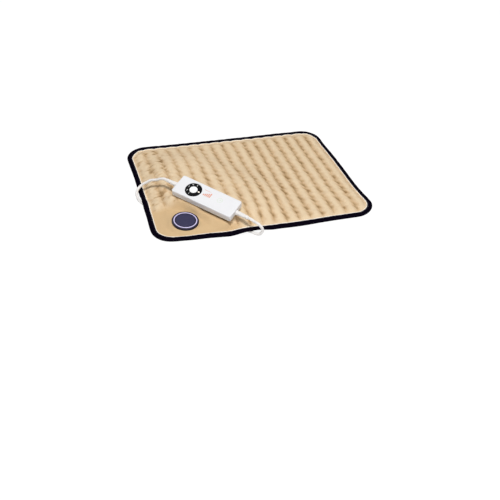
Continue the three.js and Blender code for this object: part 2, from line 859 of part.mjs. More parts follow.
function buildConnector() {
  const discFloor = capHeight - discHeight - pieceGap;
  const cavityTop = discFloor - capWall;
  const barrelInner = capBarrelRadius - capWall;
  const barrelBottom = lowLift - capPlaneHeight;
  const grooveFloor = capHeight + trimRingProud - trimRingHeight - pieceGap;
  const capTurned = turned([
    [0, cavityTop], [barrelInner, cavityTop], [barrelInner, barrelBottom],
    [capBarrelRadius, barrelBottom], [capBarrelRadius, 0], [capRadius, 0],
    [capRadius, capHeight - capEdgeRound], [capRadius - capEdgeRound / 3, capHeight - capEdgeRound / 3],
    [capRadius - capEdgeRound, capHeight], [trimRingOuter + pieceGap, capHeight],
    [trimRingOuter + pieceGap, grooveFloor], [trimRingInner - pieceGap, grooveFloor],
    [trimRingInner - pieceGap, capHeight], [discRadius + pieceGap, capHeight],
    [discRadius + pieceGap, discFloor], [0, discFloor],
  ]);
  const sides = [-1, 1];
  const posts = sides.map((side) =>
    drum(postRadius, barrelBottom, cavityTop + pieceGap, 0, side * connectorScrewY, smallSides));
  const postBores = sides.map((side) =>
    drum(screwHoleRadius, barrelBottom - cutOverrun, cavityTop, 0, side * connectorScrewY, screwSides));
  addPiece(connector, "connector_cap", cutFrom(joined(capTurned, ...posts), ...postBores), darkPlastic);

  const trimTop = capHeight + trimRingProud;
  const trimRing = turned([
    [trimRingInner, grooveFloor + pieceGap], [trimRingOuter, grooveFloor + pieceGap],
    [trimRingOuter, trimTop], [trimRingInner, trimTop], [trimRingInner, grooveFloor + pieceGap],
  ]);
  addPiece(connector, "connector_trim_ring", trimRing, lilacPlastic);

  const disc = turned([
    [0, discFloor + pieceGap], [discRadius, discFloor + pieceGap],
    [discRadius, capHeight - discEdge], [discRadius - discEdge, capHeight], [0, capHeight],
  ]);
  addPiece(connector, "connector_disc", disc, slatePlastic);

  const baseTop = barrelBottom - pieceGap;
  const flangeTop = baseTop - baseFlangeDrop;
  const flangeLow = flangeTop - baseFlangeHeight;
  const axis = (plugAxisHeight - capPlaneHeight) / Math.cos(connectorTilt);
  const baseTurned = turned([
    [0, -baseBottom], [baseRadius, -baseBottom], [baseRadius, flangeLow], [baseFlangeRadius, flangeLow],
    [baseFlangeRadius, flangeTop], [baseRadius, flangeTop], [baseRadius, baseTop], [0, baseTop],
  ]);
  const socketEnd = baseRadius - socketDepth;
  const mouth = baseFlangeRadius + cutOverrun;
  const halfTongue = tongueThickness / 2 + pieceGap;
  const socketCut = block(
    mouth - socketEnd, tongueWidth + 2 * pieceGap, axis - halfTongue, axis + halfTongue,
    (mouth + socketEnd) / 2, 0,
  );
  const notchWidth = leadPlugWidth + 2 * pieceGap;
  const notch = block(
    mouth - baseRadius, notchWidth, -baseBottom - cutOverrun, baseTop + cutOverrun,
    (mouth + baseRadius) / 2, 0,
  );
  const contactSides = sides.map((side) => side * contactSpacing / 2);
  const contactBore = contactRadius + pieceGap;
  const seats = contactSides.map((y) =>
    rodAlongX(contactBore, socketEnd - contactSeat - pieceGap, socketEnd + pieceGap, y, axis, screwSides));
  const headRoom = screwHeadHeight + 2 * pieceGap;
  const screwCuts = sides.flatMap((side) => [
    drum(screwHoleRadius, -baseBottom - cutOverrun, baseTop + cutOverrun, 0, side * connectorScrewY, screwSides),
    drum(screwHeadRadius + pieceGap, -baseBottom - cutOverrun, headRoom - baseBottom, 0,
      side * connectorScrewY, smallSides),
  ]);
  const base = cutFrom(baseTurned, socketCut, notch, ...seats, ...screwCuts);
  addPiece(connector, "connector_base", base, darkPlastic);

  sides.forEach((side, i) => {
    const fixing = screw(screwHeadRadius, screwHeadHeight, connectorScrewLength)
      .translate(0, side * connectorScrewY, pieceGap - baseBottom);
    addPiece(connector, `connector_screw_${i + 1}`, fixing, steel);
    const contactFrom = socketEnd - contactSeat;
    const contact = rodAlongX(
      contactRadius, contactFrom, contactFrom + contactLength, contactSides[i], axis, screwSides,
    );
    addPiece(connector, `connector_contact_${i + 1}`, contact, brass);
  });

  const bodyFrom = baseRadius + pieceGap;
  const bodyTo = bodyFrom + leadPlugLength;
  const tongueFrom = socketEnd + pieceGap;
  const body = alongLength(prism(
    roundedRect(leadPlugThickness, leadPlugWidth, leadPlugCorner, 2), bodyFrom, bodyTo,
  )).translate(0, 0, axis);
  const tongue = block(
    bodyFrom - tongueFrom + leadPlugCorner, tongueWidth, axis - tongueThickness / 2,
    axis + tongueThickness / 2, (bodyFrom + tongueFrom + leadPlugCorner) / 2, 0,
  );
  const plugBores = contactSides.map((y) => rodAlongX(
    contactBore, tongueFrom - cutOverrun, socketEnd - contactSeat + contactLength + pieceGap, y, axis, screwSides,
  ));
  addPiece(connector, "lead_plug", cutFrom(joined(body, tongue), ...plugBores), blackPlastic);

  const reliefFrom = bodyTo + pieceGap;
  const reliefTo = reliefFrom + plugReliefLength;
  const relief = alongLength(loft([
    { points: oval(leadReliefThickness, leadReliefWidth), z: reliefFrom },
    { points: oval(leadReliefThickness, leadReliefTip), z: reliefTo },
  ])).translate(0, 0, axis);
  addPiece(connector, "lead_plug_relief", relief, whiteCord);
  return [
    placeInWorld(connector, reliefTo + pieceGap, 0, axis),
    placeInWorld(connector, reliefTo + pieceGap + cordStraight, 0, axis),
  ];
}

function oval(width, depth, sides = smallSides) {
  return Array.from({ length: sides }, (_, i) => {
    const angle = i / sides * Math.PI * 2;
    return new THREE.Vector2(width / 2 * Math.cos(angle), depth / 2 * Math.sin(angle));
  });
}

// The controller, around the middle of its underside

function handsetSection(inset, z) {
  const radius = Math.max(handsetCorner - inset, handsetTopStep);
  const points = roundedRect(handsetLength - 2 * inset, handsetWidth - 2 * inset, radius, cornerSteps);
  return { points, z };
}

const boardTop = handsetSplit - cordDiameter / 2 - pieceGap;
const onBoard = boardTop + pieceGap;
const endCollarFrom = handsetLength / 2 - shellWall - pieceGap - reliefCollar;
const reliefEnd = handsetLength / 2 + pieceGap + reliefLength;
const fourCorners = [[-1, -1], [1, -1], [1, 1], [-1, 1]];

function reliefBore(side) {
  const from = side * (handsetLength / 2 - shellWall - cutOverrun);
  const to = side * (handsetLength / 2 + cutOverrun);
  return rodAlongX(reliefNeck + pieceGap, Math.min(from, to), Math.max(from, to), 0, handsetSplit);
}

function buildLowerShell() {
  const top = handsetSplit - pieceGap / 2;
  const insetAtFloor = handsetBellyInset * (1 - shellWall / handsetBellyHeight);
  const outside = loft([
    handsetSection(handsetBellyInset, 0), handsetSection(0, handsetBellyHeight), handsetSection(0, top),
  ]);
  const inside = loft([
    handsetSection(insetAtFloor + shellWall, shellWall), handsetSection(shellWall, handsetBellyHeight),
    handsetSection(shellWall, top + cutOverrun),
  ]);
  const hollow = cutFrom(outside, inside);
  const added = [];
  const cuts = [reliefBore(-1), reliefBore(1)];
  for (const [sideX, sideY] of fourCorners) {
    const [screwX, screwY] = [sideX * screwSpacingX / 2, sideY * screwSpacingY / 2];
    const [standX, standY] = [sideX * standoffX, sideY * standoffY];
    added.push(drum(postRadius + pieceGap, shellWall / 2, top, screwX, screwY, smallSides));
    added.push(drum(standoffRadius, shellWall / 2, boardTop - boardThickness - pieceGap, standX, standY, screwSides));
    added.push(drum(boardPinRadius, shellWall / 2, boardTop + pieceGap, standX, standY, screwSides));
    cuts.push(drum(screwHoleRadius, -cutOverrun, top + cutOverrun, screwX, screwY, screwSides));
    cuts.push(drum(screwHeadRadius + pieceGap, -cutOverrun, screwHeadHeight + 2 * pieceGap, screwX, screwY, smallSides));
  }
  const saddleTop = handsetSplit - pieceGap / 2;
  for (const side of [-1, 1]) {
    added.push(block(clampLength, clampWidth, shellWall / 2, saddleTop, side * clampX, 0));
    const [from, to] = [clampX - clampLength, clampX + clampLength];
    cuts.push(rodAlongX(
      cordDiameter / 2 + pieceGap, Math.min(side * from, side * to), Math.max(side * from, side * to),
      0, handsetSplit,
    ));
    for (const across of [-1, 1]) {
      const bottom = clampScrewTop - clampScrewLength - pieceGap;
      cuts.push(drum(screwHoleRadius, bottom, top + cutOverrun, side * clampX, across * clampScrewSpacing / 2, screwSides));
    }
  }
  addPiece(handset, "handset_lower_shell", cutFrom(joined(hollow, ...added), ...cuts), whitePlastic);
}

const clampTop = handsetSplit + cordDiameter / 2 + pieceGap + clampRoof;
const clampScrewTop = clampTop + pieceGap + clampHeadHeight;
const ceiling = handsetHeight - shellWall;

function buildUpperShell() {
  const low = handsetSplit + pieceGap / 2;
  const outside = loft([
    handsetSection(0, low), handsetSection(0, handsetHeight - handsetTopRound),
    handsetSection(handsetTopStep, handsetHeight - handsetTopStep), handsetSection(handsetTopRound, handsetHeight),
  ]);
  const inside = loft([handsetSection(shellWall, low - cutOverrun), handsetSection(shellWall, ceiling)]);
  const hollow = cutFrom(outside, inside);
  const screwTop = pieceGap + shellScrewLength + pieceGap;
  const posts = fourCorners.map(([sideX, sideY]) => drum(
    postRadius, low, ceiling + pieceGap, sideX * screwSpacingX / 2, sideY * screwSpacingY / 2, smallSides,
  ));
  const bores = fourCorners.map(([sideX, sideY]) => drum(
    screwHoleRadius, low - cutOverrun, screwTop, sideX * screwSpacingX / 2, sideY * screwSpacingY / 2, screwSides,
  ));
  const keyHole = drum(ringRadius + keyGap, ceiling - cutOverrun, handsetHeight + cutOverrun, ringOffset, 0);
  const shell = cutFrom(joined(hollow, ...posts), keyHole, reliefBore(-1), reliefBore(1), ...bores);
  addPiece(handset, "handset_upper_shell", shell, whitePlastic);
}

function buildKeys() {
  const lipDrop = (ringRadius + ringLip) * Math.sin(ringTiltTravel);
  const ringTop = handsetHeight + ringProud;
  const lipTop = ceiling - pieceGap - lipDrop;
  const ringLow = lipTop - ringLipHeight;
  const stemTop = onBoard + switchBody + switchStemHeight;
  const annulus = turned([
    [ringBore, ringLow], [ringRadius + ringLip, ringLow], [ringRadius + ringLip, lipTop],
    [ringRadius, lipTop], [ringRadius, ringTop - handsetTopStep], [ringRadius - handsetTopStep, ringTop],
    [ringBore, ringTop], [ringBore, ringLow],
  ]).translate(ringOffset, 0, 0);
  const postLow = stemTop + ringSwitchRadius * Math.sin(ringTiltTravel) + keySpare;
  const posts = [-1, 1].map((side) => drum(
    ringPostRadius, postLow, ringLow + pieceGap, ringOffset, side * ringSwitchRadius, screwSides,
  ));
  const windowX = ringOffset + lampOffset;
  const windowLow = ringTop - windowDepth;
  const pocket = block(
    windowLength + 2 * pieceGap, windowWidth + 2 * pieceGap, windowLow - pieceGap, ringTop + cutOverrun, windowX, 0,
  );
  addPiece(handset, "level_ring", cutFrom(joined(annulus, ...posts), pocket), blackPlastic);
  addPiece(handset, "ring_window", block(windowLength, windowWidth, windowLow, ringTop, windowX, 0), lampWhite);

  const buttonRadius = ringBore - keyGap;
  const lipRadius = buttonRadius + buttonLip;
  const buttonLipTop = ringLow - pieceGap - lipRadius * Math.sin(ringTiltTravel);
  const buttonLow = buttonLipTop - buttonLipHeight;
  const stemLow = stemTop + buttonTravel + keySpare;
  const buttonTop = handsetHeight + buttonProud;
  const button = turned([
    [0, stemLow], [buttonStemRadius, stemLow], [buttonStemRadius, buttonLow], [lipRadius, buttonLow],
    [lipRadius, buttonLipTop], [buttonRadius, buttonLipTop], [buttonRadius, buttonTop - handsetTopStep],
    [buttonRadius - handsetTopStep, buttonTop], [0, buttonTop],
  ]).translate(ringOffset, 0, 0);
  addPiece(handset, "centre_button", button, whitePlastic);

  const tactSwitch = (x, y) => joined(
    block(switchSize, switchSize, onBoard, onBoard + switchBody, x, y),
    drum(switchStemRadius, onBoard + switchBody / 2, stemTop, x, y, screwSides),
  );
  addPiece(handset, "centre_switch", tactSwitch(ringOffset, 0), componentBlack);
  addPiece(handset, "ring_switch_1", tactSwitch(ringOffset, -ringSwitchRadius), componentBlack);
  addPiece(handset, "ring_switch_2", tactSwitch(ringOffset, ringSwitchRadius), componentBlack);
  const lampTop = onBoard + lampHeight;
  const lamp = turned([
    [0, onBoard], [lampRadius, onBoard], [lampRadius, lampTop - lampRadius],
    [lampRadius * Math.SQRT1_2, lampTop - lampRadius * (1 - Math.SQRT1_2)], [0, lampTop],
  ], screwSides).translate(windowX, 0, 0);
  addPiece(handset, "lamp", lamp, clearGlass);
}

function buildBoard() {
  const holes = fourCorners.map(([sideX, sideY]) => drum(
    boardPinRadius + pieceGap, 0, handsetSplit, sideX * standoffX, sideY * standoffY, screwSides,
  ));
  const board = cutFrom(block(boardLength, boardWidth, boardTop - boardThickness, boardTop), ...holes);
  addPiece(handset, "circuit_board", board, boardGreen);
  const placeOf = ([alongShare, acrossShare]) => [alongShare * boardLength, acrossShare * boardWidth];
  const standing = (length, width, height, placeShares) =>
    block(length, width, onBoard, onBoard + height, ...placeOf(placeShares));
  const capacitor = standing(capacitorLength, capacitorWidth, capacitorHeight, capacitorPlaceShares);
  addPiece(handset, "capacitor", capacitor, filmYellow);
  addPiece(handset, "triac", standing(triacLength, triacWidth, triacHeight, triacPlaceShares), componentBlack);
  const [fuseX, fuseY] = placeOf(fusePlaceShares);
  const fuse = rodAlongX(
    fuseRadius, fuseX - fuseLength / 2, fuseX + fuseLength / 2, fuseY, onBoard + fuseRadius, screwSides,
  );
  addPiece(handset, "fuse", fuse, clearGlass);
}

function buildCordEntries() {
  const ends = [["lead", -1], ["mains", 1]];
  ends.forEach(([cordName, side], end) => {
    const relief = alongLength(turned([
      [0, endCollarFrom], [reliefInner, endCollarFrom], [reliefInner, endCollarFrom + reliefCollar],
      [reliefNeck, endCollarFrom + reliefCollar], [reliefNeck, handsetLength / 2 + pieceGap],
      [reliefRoot, handsetLength / 2 + pieceGap], [reliefTip, reliefEnd], [0, reliefEnd],
    ], smallSides), side).translate(0, 0, handsetSplit);
    addPiece(handset, `${cordName}_relief`, relief, whiteCord);

    const terminalX = boardLength / 2 - terminalLength / 2 - 4 * pieceGap;
    const terminal = block(
      terminalLength, terminalWidth, onBoard, onBoard + terminalHeight, side * terminalX, 0,
    );
    addPiece(handset, `${cordName}_terminal`, terminal, componentBlack);

    const tailFrom = terminalX + terminalLength / 2 + pieceGap;
    const tailTo = endCollarFrom - pieceGap;
    const tail = rodAlongX(
      cordDiameter / 2, Math.min(side * tailFrom, side * tailTo), Math.max(side * tailFrom, side * tailTo),
      0, handsetSplit,
    );
    addPiece(handset, `${cordName}_tail`, tail, whiteCord);

    const arch = cutFrom(
      block(clampLength, clampWidth, handsetSplit + pieceGap / 2, clampTop, side * clampX, 0),
      rodAlongX(
        cordDiameter / 2 + pieceGap, side * clampX - clampLength, side * clampX + clampLength, 0, handsetSplit,
      ),
      ...[-1, 1].map((across) => drum(
        screwHoleRadius, 0, handsetHeight, side * clampX, across * clampScrewSpacing / 2, screwSides,
      )),
    );
    addPiece(handset, `${cordName}_clamp`, arch, whitePlastic);
    [-1, 1].forEach((across, i) => {
      const fixing = screw(clampHeadRadius, clampHeadHeight, clampScrewLength)
        .rotateX(Math.PI)
        .translate(side * clampX, across * clampScrewSpacing / 2, clampScrewTop);
      addPiece(handset, `clamp_screw_${2 * end + i + 1}`, fixing, steel);
    });
  });
  fourCorners.forEach(([sideX, sideY], i) => {
    const fixing = screw(screwHeadRadius, screwHeadHeight, shellScrewLength)
      .translate(sideX * screwSpacingX / 2, sideY * screwSpacingY / 2, pieceGap);
    addPiece(handset, `shell_screw_${i + 1}`, fixing, steel);
  });
}

// Height at which the controller's underside lies on the quilting
function seatHeight() {
  const samples = [];
  for (const z of evenLines(0, handsetBellyHeight, seatLevels - 1)) {
    const inset = handsetBellyInset * (1 - z / handsetBellyHeight);
    const [halfX, halfY] = [handsetLength / 2 - inset, handsetWidth / 2 - inset];
    for (const x of evenLines(-halfX, halfX, Math.round(2 * halfX / seatStep))) {
      for (const y of evenLines(-halfY, halfY, Math.round(2 * halfY / seatStep))) samples.push([x, y, z]);
    }
  }
  for (const x of evenLines(handsetLength / 2, reliefEnd, Math.round(reliefLength / seatStep))) {
    samples.push([-x, 0, handsetSplit - reliefRoot], [x, 0, handsetSplit - reliefRoot]);
  }
  let height = 0;
  for (const [x, y, z] of samples) {
    const place = placeInWorld(handset, x, y, z);
    height = Math.max(height, coverTopAt(place.x, place.y) - place.z);
  }
  return height + seatGap;
}

// The cords

const turnPitch = cordDiameter + coilTurnGap;
const loopsPerLayer = coilLoops / coilLayers;
const innerTurn = (coilDiameter - loopsPerLayer * turnPitch) / 2;
const outerTurn = (coilDiameter + loopsPerLayer * turnPitch) / 2;
const coilBase = seatGap + tieThickness + layerGap + cordDiameter / 2;

// The spiral runs in on the lower layer and out again on the upper one
function coilPoint(loop) {
  const fromReverse = loop - loopsPerLayer;
  const radius = innerTurn + Math.abs(fromReverse) * turnPitch;
  const angle = coilStartAngle + loop * Math.PI * 2;
  const climb = Math.min(1, Math.max(0, fromReverse * 2 + 1 / 2));
  const [x, y] = coilCentre;
  return new THREE.Vector3(
    x + radius * Math.cos(angle),
    y + radius * Math.sin(angle),
    coilBase + climb * turnPitch,
  );
}

function leastGap(points) {
  let least = Infinity;
  for (let i = 0; i < points.length; i++) {
    for (let j = i + coilSteps / 2; j < points.length; j++) {
      least = Math.min(least, points[i].distanceTo(points[j]) - cordDiameter);
    }
  }
  return least;
}

function buildCords(leadEnd) {
  const [leadTip, leadBefore] = leadEnd;
  const fromHandset = (side) => [
    placeInWorld(handset, side * (reliefEnd + pieceGap), 0, handsetSplit),
    placeInWorld(handset, side * (reliefEnd + pieceGap + exitStraight), 0, handsetSplit),
  ];
  const places = (route) => route.map((point) => new THREE.Vector3(...point));
  const lead = [...fromHandset(-1), ...places(leadRoute), leadBefore, leadTip];
  addPiece(object, "lead_cord", cordThrough(lead), whiteCord);

  const steps = Math.round(coilLoops * coilSteps);
  const turns = Array.from({ length: steps + 1 }, (_, i) => coilPoint(i / coilSteps));
  console.log(`coil: least gap to itself ${leastGap(turns).toFixed(2)} mm`);
  const into = turns[1].clone().sub(turns[0]).setZ(0).normalize();
  const coilStart = turns[0].clone().addScaledVector(into, -cordDiameter);
  const mainsEnd = coilStart.clone().addScaledVector(into, -pieceGap);
  const mainsBefore = mainsEnd.clone().addScaledVector(into, -cordStraight);
  const mains = [...fromHandset(1), ...places(mainsRoute), mainsBefore, mainsEnd];
  addPiece(object, "mains_cord", cordThrough(mains), whiteCord);

  const last = turns[steps];
  const out = last.clone().sub(turns[steps - 1]).setZ(0).normalize();
  const runOut = runOutShares.map((share, i) => {
    const place = last.clone().addScaledVector(out, share * coilRunOut);
    const descent = Math.min(1, (i + 1) / (runOutShares.length - 1));
    return place.setZ(last.z + (plugAxis - last.z) * descent);
  });
  const coil = tubeThrough([coilStart, ...turns, ...runOut], cordDiameter / 2, coilSides);
  addPiece(object, "mains_coil", coil, whiteCord);

  const [coilX, coilY] = coilCentre;
  const bandLow = coilBase - cordDiameter / 2 - layerGap;
  const bandHigh = coilBase + turnPitch + cordDiameter / 2 + layerGap;
  const reach = cordDiameter / 2 + layerGap;
  const [bandFrom, bandTo] = [innerTurn - reach, outerTurn + reach];
  const middle = (bandFrom + bandTo) / 2;
  const band = cutFrom(
    block(
      bandTo - bandFrom + 2 * tieThickness, tieWidth, bandLow - tieThickness, bandHigh + tieThickness, middle, 0,
    ),
    block(bandTo - bandFrom, tieWidth + cutOverrun, bandLow, bandHigh, middle, 0),
  ).rotateZ(tieAngle).translate(coilX, coilY, 0);
  addPiece(object, "coil_tie", band, blackPlastic);
  buildPlug(runOut[runOut.length - 1], out);
}

// The plug: its cord comes in at the group's origin along X
function buildPlug(place, direction) {
  const plug = new THREE.Group();
  plug.position.copy(place);
  plug.rotation.z = Math.atan2(direction.y, direction.x);
  object.add(plug);
  const relief = alongLength(turned([
    [0, pieceGap], [reliefTip, pieceGap], [reliefRoot, pieceGap + plugReliefLength],
    [0, pieceGap + plugReliefLength],
  ], smallSides));
  addPiece(plug, "plug_relief", relief, whiteCord);
  const bodyFrom = plugReliefLength + 2 * pieceGap;
  const bodyTo = bodyFrom + plugLength;
  const full = roundedRect(plugThickness, plugWidth, plugCorner, cornerSteps);
  const body = alongLength(loft([
    { points: roundedRect(plugNeckThickness, plugNeckWidth, plugCorner, cornerSteps), z: bodyFrom },
    { points: full, z: bodyFrom + plugShoulder },
    { points: full, z: bodyTo },
  ]));
  const sides = [-1, 1].map((side) => side * plugPinSpacing / 2);
  const pinRadius = plugPinDiameter / 2;
  const bores = sides.map((y) => rodAlongX(
    pinRadius + pieceGap, bodyTo - plugPinSeat - pieceGap, bodyTo + cutOverrun, y, 0,
  ));
  addPiece(plug, "plug_body", cutFrom(body, ...bores), whiteCord);
  sides.forEach((y, i) => {
    const pin = rodAlongX(pinRadius, bodyTo - plugPinSeat, bodyTo + plugPinLength, y, 0);
    addPiece(plug, `plug_pin_${i + 1}`, pin, brass);
  });
}

buildPad();
const leadEnd = buildConnector();
handset.position.z = seatHeight();
buildLowerShell();
buildUpperShell();
buildKeys();
buildBoard();
buildCordEntries();
buildCords(leadEnd);

export default object;
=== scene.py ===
import math

import bmesh
import bpy
import numpy as np
from mathutils import Matrix, Vector
from mathutils.bvhtree import BVHTree


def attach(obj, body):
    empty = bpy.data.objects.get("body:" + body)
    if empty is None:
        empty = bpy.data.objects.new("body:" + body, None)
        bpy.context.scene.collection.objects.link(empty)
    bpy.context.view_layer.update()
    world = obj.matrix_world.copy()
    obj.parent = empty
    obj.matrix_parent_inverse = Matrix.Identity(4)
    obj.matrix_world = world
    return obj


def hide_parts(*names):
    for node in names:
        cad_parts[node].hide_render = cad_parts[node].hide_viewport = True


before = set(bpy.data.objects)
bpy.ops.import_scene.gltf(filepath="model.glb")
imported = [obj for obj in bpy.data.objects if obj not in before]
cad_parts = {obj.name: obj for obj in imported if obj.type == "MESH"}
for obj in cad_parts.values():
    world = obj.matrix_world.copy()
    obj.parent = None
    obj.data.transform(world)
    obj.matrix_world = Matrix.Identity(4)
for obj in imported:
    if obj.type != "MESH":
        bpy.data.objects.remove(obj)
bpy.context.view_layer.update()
mm = 0.001
root = "pad_and_controller"
scene = bpy.context.scene


# Camera: solved from the pad's corners in the photograph, image 500 x 500
cameraFacts = {
    "right": (0.95010, -0.30441, 0.06811),
    "up": (0.14424, 0.62233, 0.76935),
    "back": (-0.27659, -0.72114, 0.63518),
    "target": (-53.90, -196.07, 3.0),
    "distance": 1134.13,
    "focalPixels": 692.97,
    "imagePixels": 500,
}


def newObject(name, data):
    made = bpy.data.objects.new(name, data)
    scene.collection.objects.link(made)
    return made


def addCamera(facts):
    data = bpy.data.cameras.new("camera")
    data.sensor_width = 36
    data.lens = facts["focalPixels"] / facts["imagePixels"] * data.sensor_width
    data.clip_start = 0.05
    data.clip_end = 30
    camera = newObject("camera", data)
    place = Vector(facts["target"]) + Vector(facts["back"]) * facts["distance"]
    turn = Matrix((facts["right"], facts["up"], facts["back"])).transposed().to_4x4()
    camera.matrix_world = Matrix.Translation(place * mm) @ turn
    scene.camera = camera


addCamera(cameraFacts)
print("camera placed")


# Places of the controller, the connector and the tie: where their own zero stands and how they are turned
def groupPlace(x, y, z, *degrees):
    turn = Matrix.Identity(4)
    for angle, axis in zip(degrees, "ZYX"):
        turn = turn @ Matrix.Rotation(math.radians(angle), 4, axis)
    return Matrix.Translation((x, y, z)) @ turn


connectorX, connectorY, connectorZ, connectorTilt = -141, -108, 10.2, 3.5
handsetPlace = groupPlace(-95.8, -78.7, 21.8939, -47.1, 4.3, 15)
connectorPlace = groupPlace(connectorX, connectorY, connectorZ, 0, 0, connectorTilt)


# Small tools for points and meshes, all in millimetres until a mesh is made
def smooth(value):
    t = np.clip(value, 0, 1)
    return t * t * (3 - 2 * t)


def latticeNoise(x, y, cellX, cellY, seed):
    table = np.random.default_rng(seed).uniform(-1, 1, (64, 64))
    u, v = np.asarray(x) / cellX + 211.3, np.asarray(y) / cellY + 173.7
    i, j = np.floor(u).astype(int), np.floor(v).astype(int)
    s, t = smooth(u - i), smooth(v - j)
    pick = lambda a, b: table[a % 64, b % 64]
    low = pick(i, j) * (1 - s) + pick(i + 1, j) * s
    high = pick(i, j + 1) * (1 - s) + pick(i + 1, j + 1) * s
    return low * (1 - t) + high * t


def applied(place, points):
    points = np.asarray(points, float)
    if place is None:
        return points
    turn = np.array(place, float)
    return points @ turn[:3, :3].T + turn[:3, 3]


def newMesh(name, points, faces):
    mesh = bpy.data.meshes.new(name)
    mesh.from_pydata((np.asarray(points) * mm).tolist(), [], [tuple(f) for f in faces])
    return mesh


def addMesh(name, points, faces, material, place=None, sharp=40, body=root, replaced=(), slot=None):
    mesh = newMesh(name, applied(place, points), faces)
    tidy(mesh, sharp)
    return placed(name, mesh, material, body, replaced)


def tidy(mesh, sharp):
    shape = bmesh.new()
    shape.from_mesh(mesh)
    bmesh.ops.remove_doubles(shape, verts=shape.verts, dist=1e-7)
    bmesh.ops.recalc_face_normals(shape, faces=shape.faces)
    limit = math.radians(sharp)
    for face in shape.faces:
        face.smooth = True
    for edge in shape.edges:
        edge.smooth = len(edge.link_faces) == 2 and edge.calc_face_angle(0) < limit
    shape.to_mesh(mesh)
    shape.free()
    mesh.validate()


def placed(name, data, material, body, replaced=()):
    piece = newObject(name, data)
    data.materials.clear()
    data.materials.append(material)
    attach(piece, body)
    if replaced:
        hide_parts(*replaced)
    return piece


def ringFaces(levels, count, closed=False):
    faces = []
    for level in range(levels if closed else levels - 1):
        low, high = level * count, (level + 1) % levels * count
        for i in range(count):
            j = (i + 1) % count
            faces.append((low + i, low + j, high + j, high + i))
    return faces


# Stacks sections with as many points each, and closes both ends unless the stack runs round
def loft(sections, closed=False):
    count = len(sections[0])
    faces = ringFaces(len(sections), count, closed)
    if not closed:
        faces.append(tuple(reversed(range(count))))
        faces.append(tuple((len(sections) - 1) * count + i for i in range(count)))
    return np.concatenate([np.asarray(s, float) for s in sections]), faces


# Turns [radius, height] pairs about Z: a profile from axis to axis, or one that runs round
def turned(profile, segments=96, closed=False):
    profile = np.asarray(profile, float)
    angles = np.arange(segments) / segments * 2 * math.pi
    rings = [np.stack([r * np.cos(angles), r * np.sin(angles), np.full(segments, z)], 1) for r, z in profile]
    if closed:
        return loft(rings, True)
    rings = [ring for ring, (r, z) in zip(rings, profile) if r > 1e-9]
    points = np.concatenate(rings)
    faces = ringFaces(len(rings), segments)
    top = (len(rings) - 1) * segments
    for z, base, flip in ((profile[0][1], 0, True), (profile[-1][1], top, False)):
        points = np.vstack([points, [0, 0, z]])
        for i in range(segments):
            a, b = base + i, base + (i + 1) % segments
            faces.append((b, a, len(points) - 1) if flip else (a, b, len(points) - 1))
    return points, faces


# A quarter round between two directions of a profile
def arc(centre, radius, start, end, steps=6):
    angles = np.radians(np.linspace(start, end, steps + 1))
    return [(centre[0] + radius * math.cos(a), centre[1] + radius * math.sin(a)) for a in angles]


quarters = ((1, 1), (-1, 1), (-1, -1), (1, -1))


def roundedRect(width, depth, radius, steps=8):
    points = []
    for quarter, (sideX, sideY) in enumerate(quarters):
        centre = (sideX * (width / 2 - radius), sideY * (depth / 2 - radius))
        points += arc(centre, radius, quarter * 90, quarter * 90 + 90, steps)
    return np.array(points)


def atHeight(outline, z):
    return np.column_stack([outline, np.full(len(outline), z)])


# The same form along X in place of Z
def alongX(points, side=1):
    points = np.asarray(points, float)
    return np.column_stack([points[:, 2] * side, points[:, 1], -points[:, 0] * side])


def moved(points, x=0.0, y=0.0, z=0.0):
    return np.asarray(points, float) + np.array([x, y, z])


def together(*parts):
    points, faces, base = [], [], 0
    for some, its in parts:
        points.append(np.asarray(some, float))
        faces += [tuple(base + i for i in f) for f in its]
        base += len(some)
    return np.concatenate(points), faces


def evaluatedMesh(piece):
    return bpy.data.meshes.new_from_object(piece.evaluated_get(bpy.context.evaluated_depsgraph_get()))


# Points in millimetres and faces of a mesh that is not needed after this
def takenOut(mesh):
    points = np.array([v.co for v in mesh.vertices]) / mm
    faces = [tuple(p.vertices) for p in mesh.polygons]
    bpy.data.meshes.remove(mesh)
    return points, faces


# Changes one closed mesh by others: the base is (points, faces), each other one (points, faces, operation)
def carved(base, *others):
    objects = []
    for points, faces, *_ in (base, *others):
        mesh = newMesh("carving", points, faces)
        tidy(mesh, 40)
        objects.append(newObject("carving", mesh))
    for piece, (*_, operation) in zip(objects[1:], others):
        step = objects[0].modifiers.new("cut", "BOOLEAN")
        step.solver = "EXACT"
        step.operation = operation
        step.object = piece
    result = evaluatedMesh(objects[0])
    for piece in objects:
        bpy.data.objects.remove(piece)
    return takenOut(result)


# Gives big flat faces the say over the shading where they meet rounded edges
def flatShading(piece):
    weights = piece.modifiers.new("weights", "WEIGHTED_NORMAL")
    weights.keep_sharp = True
    weights.weight = 100
    mesh = evaluatedMesh(piece)
    piece.modifiers.remove(weights)
    old = piece.data
    piece.data = mesh
    mesh.name = old.name
    bpy.data.meshes.remove(old)
    return piece


# Materials
def linear(code):
    values = [int(code[i:i + 2], 16) / 255 for i in (0, 2, 4)]
    return [v / 12.92 if v <= 0.04045 else ((v + 0.055) / 1.055) ** 2.4 for v in values] + [1]


def addNode(tree, kind, inputs=None, **settings):
    node = tree.nodes.new("ShaderNode" + kind)
    for name, value in settings.items():
        setattr(node, name, value)
    for name, value in (inputs or {}).items():
        feed(tree, node.inputs[name], value)
    return node


def emptyTree(holder):
    holder.use_nodes = True
    holder.node_tree.nodes.clear()
    return holder.node_tree


def startMaterial(name):
    material = bpy.data.materials.new(name)
    tree = emptyTree(material)
    return material, tree, addNode(tree, "TexCoord").outputs["Object"]


# Sets an input to a value, or links it where the value is another node's output
def feed(tree, socket, value):
    if isinstance(value, bpy.types.NodeSocket):
        tree.links.new(value, socket)
    else:
        socket.default_value = value


